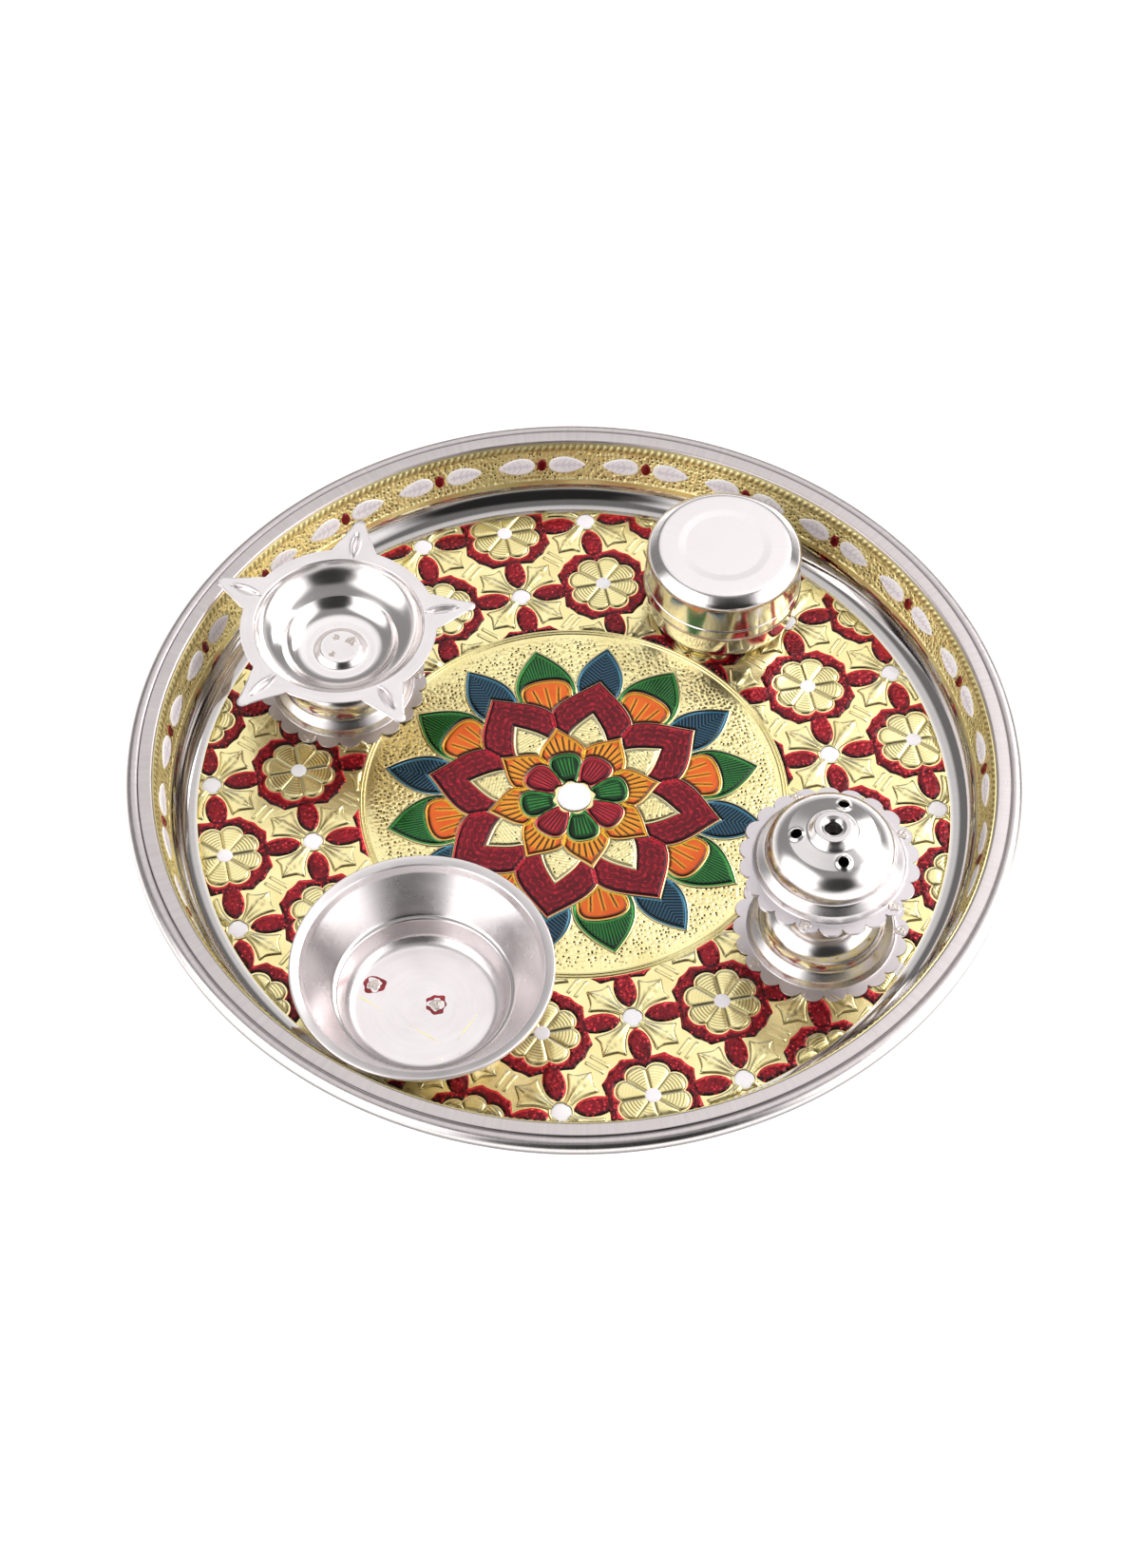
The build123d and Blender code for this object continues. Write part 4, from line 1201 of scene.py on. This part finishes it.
# The rings of petals, each sunk where a higher ring's outlines cover it, and the white boss in the middle.
def medallionPieces():
    m = medallionSize
    rings = m["rings"]
    order = list(rings)
    every = np.arange(8) * m["step"]
    makes = [
        ("blueLeaves", "blue", every, "blueLacquer", "blue_lacquer", ("blue_leaves",)),
        ("greenLeaves", "green", every, "greenLacquer", "green_lacquer", ("green_leaves",)),
        ("orangeFans", "fan", every, "orangeLacquer", "orange_lacquer", ("orange_fans",)),
        ("maroonPetals", "maroon", every, "maroonLacquer", "maroon_lacquer", ("maroon_petals",)),
        ("goldPetals", "gold", every, "giltFoil", "gilt_foil", ()),
        ("orangePetals", "orange", every, "orangeLacquer", "orange_lacquer", ("orange_petals",)),
        ("innerGreen", "inner", every[::2], "greenLacquer", "green_lacquer", ("inner_petals_green",)),
        ("innerRed", "inner", every[1::2], "innerRedLacquer", "red_lacquer", ("inner_petals_red",)),
    ]
    for name, ring, bearings, colour, slot, nodes in makes:
        look, level = rings[ring], order.index(ring)
        uppers = []
        for above in order[level + 1:]:
            gaps = np.arange(-90.0, 91.0, m["step"]) + rings[above]["turn"] - look["turn"]
            uppers += [petalOutline(rings[above], gap) for gap in gaps if abs(gap) < 70]
        # Each ring gets painted highlight and painted shade by slope.
        made = paintSlopeLight(ringOf(petalGrid(look, level, uppers), bearings + look["turn"]), *m["edges"])
        addPiece(name, made, [finish[colour], finish["giltFoil"]], nodes, sharp=80)
    top = reliefLook["base"] + reliefLook["layer"] * (len(order) - 1)
    hub = dome(m["centre"], m["centreRise"], top, 10, 96)
    addPiece("medallionHub", hub, [finish["whiteLacquer"]], ("medallion_centre",))


floorFoil()
medallionPieces()
print("medallion made")

# Flower lattice

latticeSize = {
    "cell": 27.92, "inner": 68.0, "flower": 11.2, "lobe": 2.0, "petals": 8, "hub": 2.5, "dot": 3.1,
    "frameGap": 0.55, "frameAngles": (0, 8, 16, 22, 26, 31, 38, 45),
    "frameRadii": (13.7, 13.8, 14.4, 15.2, 15.9, 15.3, 15.2, 15.6),
    "budRoot": 12.4, "budFoot": 13.3, "budTip": 24.2, "budWidth": 6.8,
    "budShares": ((0, 0.68), (0.35, 1.22), (0.84, 1.2), (1, 0)),
    "leafRuns": (3.0, 5.0, 7.5, 10.0, 11.6, 12.3, 12.7, 13.6, 15.0, 16.6),
    "leafHalves": (1.3, 1.7, 2.6, 4.2, 5.6, 5.8, 3.9, 2.7, 1.5, 0.0),
    "veinStart": 4.8, "veinLength": 8.6, "veinHalf": 1.1, "bandRun": 18.4, "bandHalf": 3.7, "bandWide": 0.75,
    "hatch": (0.9, 0.25, 0.8, 0.15, 0.9, 0.6, 0.2, 0.7), "collar": 0.9, "trim": 0.15,
    "flowerRise": 0.55, "redRise": 0.36, "redBevel": 1.4, "goldSlopeLight": (0.75, 0.8, 0.08, 0.3),
    "redSlopeLight": (0.97, 0.95, 0.03, 0.13),
}


# The flower's edge by angle: its radius less a power of the angle from the nearest petal's middle.
def flowerEdge(a):
    s = latticeSize
    off = np.abs((a / (tau / s["petals"]) + 0.5) % 1.0 - 0.5) * 2
    return s["flower"] - s["lobe"] * (1 - off) ** 2.4


# A grid between an inner and an outer edge given by angle, as radii by share.
def betweenEdges(inner, outer, share):
    return inner + (outer - inner) * np.array(share)[:, None]


# Gold flower: eight pillows parted by grooves along the petals' sides, some of them hatched, with a painted
# shade line along each pillow's edge.
def flowerGrid():
    s = latticeSize
    part = np.array([0, 1.3, 4, 8.5, 14.5, 22.5, 30.5, 36.5, 41, 43.7])
    a = np.radians(np.concatenate([part + 45 * k for k in range(s["petals"])] + [[360.0]]))
    outer = flowerEdge(a)
    r = betweenEdges(np.full(len(a), 1.9), outer, (0, 0.12, 0.3, 0.5, 0.68, 0.82, 0.91, 0.96, 0.99, 1.0))
    r[-1] += 0.12
    pitch = tau / s["petals"]
    away = (a / pitch) % 1.0
    away = np.minimum(away, 1 - away) * pitch
    inside = np.minimum(r * np.sin(away), outer - r)
    z = reliefLook["ground"] + s["flowerRise"] * pillow(inside + 0.05, 1.3)
    z[-1] = reliefLook["ground"] - 0.05
    petal = (np.floor(a / pitch) % s["petals"]).astype(int)
    hatch = np.array(s["hatch"])[petal] * ease(inside, 0.35, 0.9) * (r > 4)
    points = stacked(*polar(r, a), z)
    return motif(points, gridFaces(*r.shape), stroke=0.8 * bell(inside, 0, 0.25), hatch=hatch, run=r)


# Red lacquer's height, a painted highlight along its edge and a painted shade line just inside it, from the
# distance inside its edge.
def redRelief(x, y, inside):
    s = latticeSize
    z = reliefLook["base"] + s["redRise"] * pillow(inside, s["redBevel"]) - 0.1 * (inside < 0.01)
    rim = 0.8 * (1 - ease(inside, 0.2, 0.5))
    return motif(stacked(x, y, z), gridFaces(*x.shape), rim=rim, stroke=0.9 * bell(inside, 0.7, 0.42))


# A bud as a petal from a foot on the frame to its tip.
def budLook(foot):
    s = latticeSize
    return {"foot": foot, "tip": s["budTip"], "width": s["budWidth"], "shares": s["budShares"]}


# How far points lie inside the bud on the first axis, whose root is under the frame.
def insideBud(x, y, turn=0.0):
    outline = petalOutline(budLook(latticeSize["budRoot"]))
    return insideOf(turned(stacked(x, y), turn), outline).reshape(x.shape)


# Red frame: a band from the flower's edge to an eight-sided edge with small horns, joined to four buds.
def frameGrid():
    s = latticeSize
    a = np.radians(np.arange(0, 361, 2.5))
    inner = flowerEdge(a) + s["frameGap"]
    outer = np.interp(np.abs((np.degrees(a) + 45) % 90 - 45), s["frameAngles"], s["frameRadii"])
    r = betweenEdges(inner, outer, (0, 0.04, 0.12, 0.25, 0.42, 0.58, 0.75, 0.88, 0.96, 1.0))
    x, y = polar(r, a)
    bud = np.max([insideBud(x, y, -90.0 * k) for k in range(4)], axis=0)
    return redRelief(x, y, np.maximum(np.minimum(r - inner, outer - r), np.minimum(bud, r - inner)))


# Red bud: rows along its side, columns by share of the half width.
def budGrid():
    side = petalSide(budLook(latticeSize["budFoot"]), 0.62)
    share = np.array([-1, -0.94, -0.82, -0.62, -0.35, 0, 0.35, 0.62, 0.82, 0.94, 1])
    x, y = np.broadcast_arrays(side[:, :1], side[:, 1:] * share)
    return redRelief(x, y, np.maximum(insideBud(x, y), 0))


# Gold leaf beside a joint dot: half width by run, a pillow at its edge and a lens-shaped vein, with painted
# shade lines along its edge and beside the vein.
def leafGrid():
    s = latticeSize
    run = (3.0, 4.0, 5.2, 6.6, 8.0, 9.2, 10.2, 11.0, 11.7, 12.3, 12.55, 12.8, 13.3, 14.0, 14.8, 15.7, 16.6)
    run = np.array(run)
    half = np.interp(run, s["leafRuns"], s["leafHalves"])[:, None]
    share = np.array([-1, -0.93, -0.8, -0.6, -0.38, -0.2, 0, 0.2, 0.38, 0.6, 0.8, 0.93, 1])
    x, y = np.broadcast_arrays(run[:, None], half * share)
    inside = np.minimum(half - np.abs(y), (run[-1] - x) * 0.6)
    along = np.clip((x - s["veinStart"]) / s["veinLength"], 0, 1)
    lens = s["veinHalf"] * np.sqrt(np.clip(np.sin(np.pi * along), 0, 1))
    vein = np.clip(1 - (y / np.maximum(lens, 1e-6)) ** 2, 0, 1)
    z = reliefLook["ground"] + 0.55 * pillow(inside, 1.1) + 0.35 * vein - 0.1 * (inside <= 0)
    stroke = 0.9 * bell(inside, 0, 0.28) + 0.7 * bell(np.abs(y), lens + 0.15, 0.22) * (lens > 0.1)
    return motif(stacked(x, y, z), gridFaces(*x.shape), stroke=np.clip(stroke, 0, 1))


# A short raised bar across the diagonal, half way between two dots.
def bandGrid():
    s = latticeSize
    long, wide = s["bandHalf"], s["bandWide"]
    x, y = np.broadcast_arrays(wide * np.linspace(-1, 1, 7)[:, None], long * np.linspace(-1, 1, 9))
    inside = np.minimum(wide - np.abs(x), long - np.abs(y))
    z = reliefLook["ground"] + 0.25 * pillow(inside, 0.6) - 0.08 * (inside <= 0.001)
    return motif(stacked(s["bandRun"] + x, y, z), gridFaces(*x.shape))


# A half-round ring round a dot: height is a half ellipse across its width.
def collarGrid():
    s = latticeSize
    a = np.linspace(0, tau, 33)
    t = np.array([-1, -0.6, 0, 0.6, 1])[:, None]
    z = reliefLook["ground"] - 0.05 + 0.4 * np.sqrt(1 - t**2)
    return motif(stacked(*polar(s["dot"] + s["collar"] / 2 * (1 + t), a), z), gridFaces(len(t), len(a)))


# Motifs set out at their sites, then trimmed to the band between the medallion and the foil's edge: outside
# corners are drawn to the limit, quads wholly outside are dropped, and relief fades out at the limit.
def setOut(grid, sites):
    g = gather([{**grid, "points": grid["points"] + (x, y, 0)} for x, y in sites])
    points, quads = g["points"], g["quads"]
    r = np.hypot(points[:, 0], points[:, 1])
    low, high = latticeSize["inner"] + latticeSize["trim"], foilRadius - latticeSize["trim"]
    keep = ((r > low) & (r < high))[quads].any(1)
    to = np.clip(r, low, high)
    points[:, :2] *= (to / r)[:, None]
    fade = np.clip(np.minimum(to - low, high - to) / 0.5, 0, 1)
    sunk = reliefLook["ground"] - 0.02
    points[:, 2] = sunk + (points[:, 2] - sunk) * fade
    used = np.unique(quads[keep])
    index = np.zeros(len(r), int)
    index[used] = np.arange(len(used))
    g.update(points=points[used], quads=index[quads[keep]], finishOf=g["finishOf"][keep])
    return {**g, "fields": {k: v[used] for k, v in g["fields"].items()}}


# One piece of many motifs, with painted highlight and painted shade by slope where its slope settings are
# given.
def addMotifs(name, grids, look, nodes=(), edges=None):
    g = gather(grids) if edges is None else paintSlopeLight(gather(grids), *edges)
    addPiece(name, g, [finish[look]], nodes, sharp=70)


# The lattice: flowers on the even crossings of a square grid, and dots with leaves and bars on the odd ones.
def latticePieces():
    s = latticeSize
    n = np.arange(-6, 7)
    i, j = (v.ravel() for v in np.meshgrid(n, n))
    spots = np.stack([i, j], -1) * s["cell"]
    far = np.hypot(spots[:, 0], spots[:, 1])
    near = (far > s["inner"] - 26) & (far < foilRadius + 26)
    flowers, joints = (spots[near & ((i + j) % 2 == odd)] for odd in (0, 1))
    quarter = np.arange(4) * 90.0
    gold = [setOut(flowerGrid(), flowers), setOut(ringOf(leafGrid(), quarter + 45), joints)]
    gold += [setOut(ringOf(bandGrid(), quarter + 45), joints), setOut(collarGrid(), joints)]
    addMotifs("latticeGold", gold, "giltFoil", (), s["goldSlopeLight"])
    red = [setOut(frameGrid(), flowers), setOut(ringOf(budGrid(), quarter), flowers)]
    addMotifs("latticeRed", red, "redLacquer", ("lattice_red",), s["redSlopeLight"])
    base = reliefLook["base"]
    hubs, dots = dome(s["hub"], 0.3, base + 0.4, 6, 32), dome(s["dot"], 0.4, base, 6, 32)
    dots = [setOut(hubs, flowers), setOut(dots, joints)]
    addMotifs("latticeDots", dots, "whiteLacquer", ("lattice_dots",))


latticePieces()
print("lattice made")

# Wall border

borderSize = {
    "motifs": 23, "first": 82.8, "ovalWide": 3.2, "ovalHigh": 4.6, "ovalRise": 0.4, "leafLong": 12.4,
    "leafHigh": 6.6, "leafGap": 0.8, "leafRise": 0.3, "veinPitch": 2.0, "veinSlant": 0.8, "drop": 0.2,
    "ropePitch": 2.3, "ropeWide": 2.3, "ropeInset": 1.35, "ropeRise": (0.2, 0.45), "ropeSkew": 1.9,
    "ridge": 0.12, "ridgeInset": 1.6, "ridgeWidth": 0.35, "segments": 360,
}


# Points given by bearing, run up the wall and lift off it, in space.
def onWall(bearing, along, lift):
    r, z = wallSpot(along, lift)
    return stacked(*polar(r, bearing), z)


# The wall foil: a cone with a fine ridge along its lower edge, both edges turned down to the wall.
def wallFoil():
    b = borderSize
    run = np.concatenate([[foilStart, foilStart], np.linspace(foilStart, foilEnd, 28), [foilEnd]])
    lift = traySize["foil"] + b["ridge"] * bell(run, foilStart + b["ridgeInset"], b["ridgeWidth"])
    lift[0] = lift[-1] = 0.01
    a = np.linspace(tau, 0, b["segments"] + 1)
    stipple = ease(run, foilStart + 2.0, foilStart + 2.4) * (1 - ease(run, foilEnd - 2.6, foilEnd - 2.2))
    points = onWall(a, run[:, None], lift[:, None])
    grid = motif(points, gridFaces(len(run), len(a)), stipple=np.repeat(stipple, len(a)))
    addPiece("wallFoil", grid, [finish["wallGilt"]], ("wall_foil",), sharp=35)


# The twisted rope along the foil's upper edge: a half-round band whose height swings with the bearing,
# skewed across the band, with painted shade where it is low between the twists.
def wallRope():
    b = borderSize
    count = int(tau * wallTop / b["ropePitch"])
    a = np.linspace(tau, 0, count * 4 + 1)
    t = np.array([-1, -0.55, 0, 0.55, 1])[:, None]
    swing = 0.5 + 0.5 * np.cos(count * a + b["ropeSkew"] * t)
    least, more = b["ropeRise"]
    lift = traySize["foil"] - 0.05 + np.sqrt(1 - 0.95 * t**2) * (least + more * swing)
    points = onWall(a, foilEnd - b["ropeInset"] + b["ropeWide"] / 2 * t, lift)
    grid = motif(points, gridFaces(*swing.shape), stroke=0.75 * (1 - swing))
    addPiece("wallRope", grid, [finish["wallGilt"]], sharp=80)


# A border patch: shares along and across, its half height by share along, laid on the wall beside a bearing.
def wallPatch(bearing, start, length, half, rise, strokes):
    t = 0.5 - 0.5 * np.cos(np.pi * np.linspace(0, 1, 31))[:, None]
    s = np.array([-1, -0.92, -0.78, -0.56, -0.3, 0, 0.3, 0.56, 0.78, 0.92, 1])
    y = half(t) * s
    inside = np.minimum(half(t) - np.abs(y), np.minimum(t, 1 - t) * abs(length) * 0.7)
    stroke = strokes(t, y, inside)
    lift = traySize["foil"] + 0.02 + rise * pillow(inside, 0.9) - 0.1 * (inside <= 0.001) - 0.06 * stroke
    middle = (foilStart + foilEnd) / 2 - borderSize["drop"]
    points = onWall(bearing - (start + length * t) / wallSpot(middle, 0)[0], middle + y, lift)
    quads = gridFaces(*y.shape)[:, ::1 if length > 0 else -1]
    # A painted highlight band just inside the patch's edge.
    return motif(points, quads, stroke=stroke, rim=0.3 * bell(inside, 0.3, 0.2))


# A leaf's slanting veins, an even run apart on both sides of its middle line.
def leafVeins(t, y, inside):
    b = borderSize
    s = (t * b["leafLong"] - b["veinSlant"] * np.abs(y)) / b["veinPitch"]
    off = np.abs(s - np.round(s)) * b["veinPitch"]
    line = np.maximum(1 - ease(off, 0.12, 0.3), 1 - ease(np.abs(y), 0.1, 0.3))
    return 0.7 * line * ease(inside, 0.3, 0.8) * (t > 0.12) * (t < 0.9)


# The border's motifs, evenly round the wall: an oval, its half height a half circle's, between two leaves,
# their half height a root of the share times a power of what is left.
def borderPieces():
    b = borderSize
    leaf = lambda t: b["leafHigh"] / 2 * np.sqrt(t) * (1 - t) ** 0.8 / 0.42
    oval = lambda t: b["ovalHigh"] / 2 * np.sqrt(np.clip(1 - (2 * t - 1) ** 2, 0, 1))
    plain = lambda t, y, inside: 0 * y
    turns = np.radians(b["first"] + np.arange(b["motifs"]) * 360 / b["motifs"])
    wide = b["ovalWide"]
    start = wide / 2 + b["leafGap"]
    leaves = [wallPatch(a, way * start, way * b["leafLong"], leaf, b["leafRise"], leafVeins)
              for a in turns for way in (1, -1)]
    ovals = [wallPatch(a, -wide / 2, wide, oval, b["ovalRise"], plain) for a in turns]
    addMotifs("borderLeaves", leaves, "whiteLacquer", ("border_leaves",))
    addMotifs("borderOvals", ovals, "borderRed", ("border_ovals",))


wallFoil()
wallRope()
borderPieces()
print("border made")

# Close


# The part's box from the CAD and as dressed, in metres.
def closeScene():
    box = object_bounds()
    plain = lambda corners: [[float(x) for x in c] for c in corners]
    {"cad": plain(cadBox), "visual": plain(box)}


closeScene()
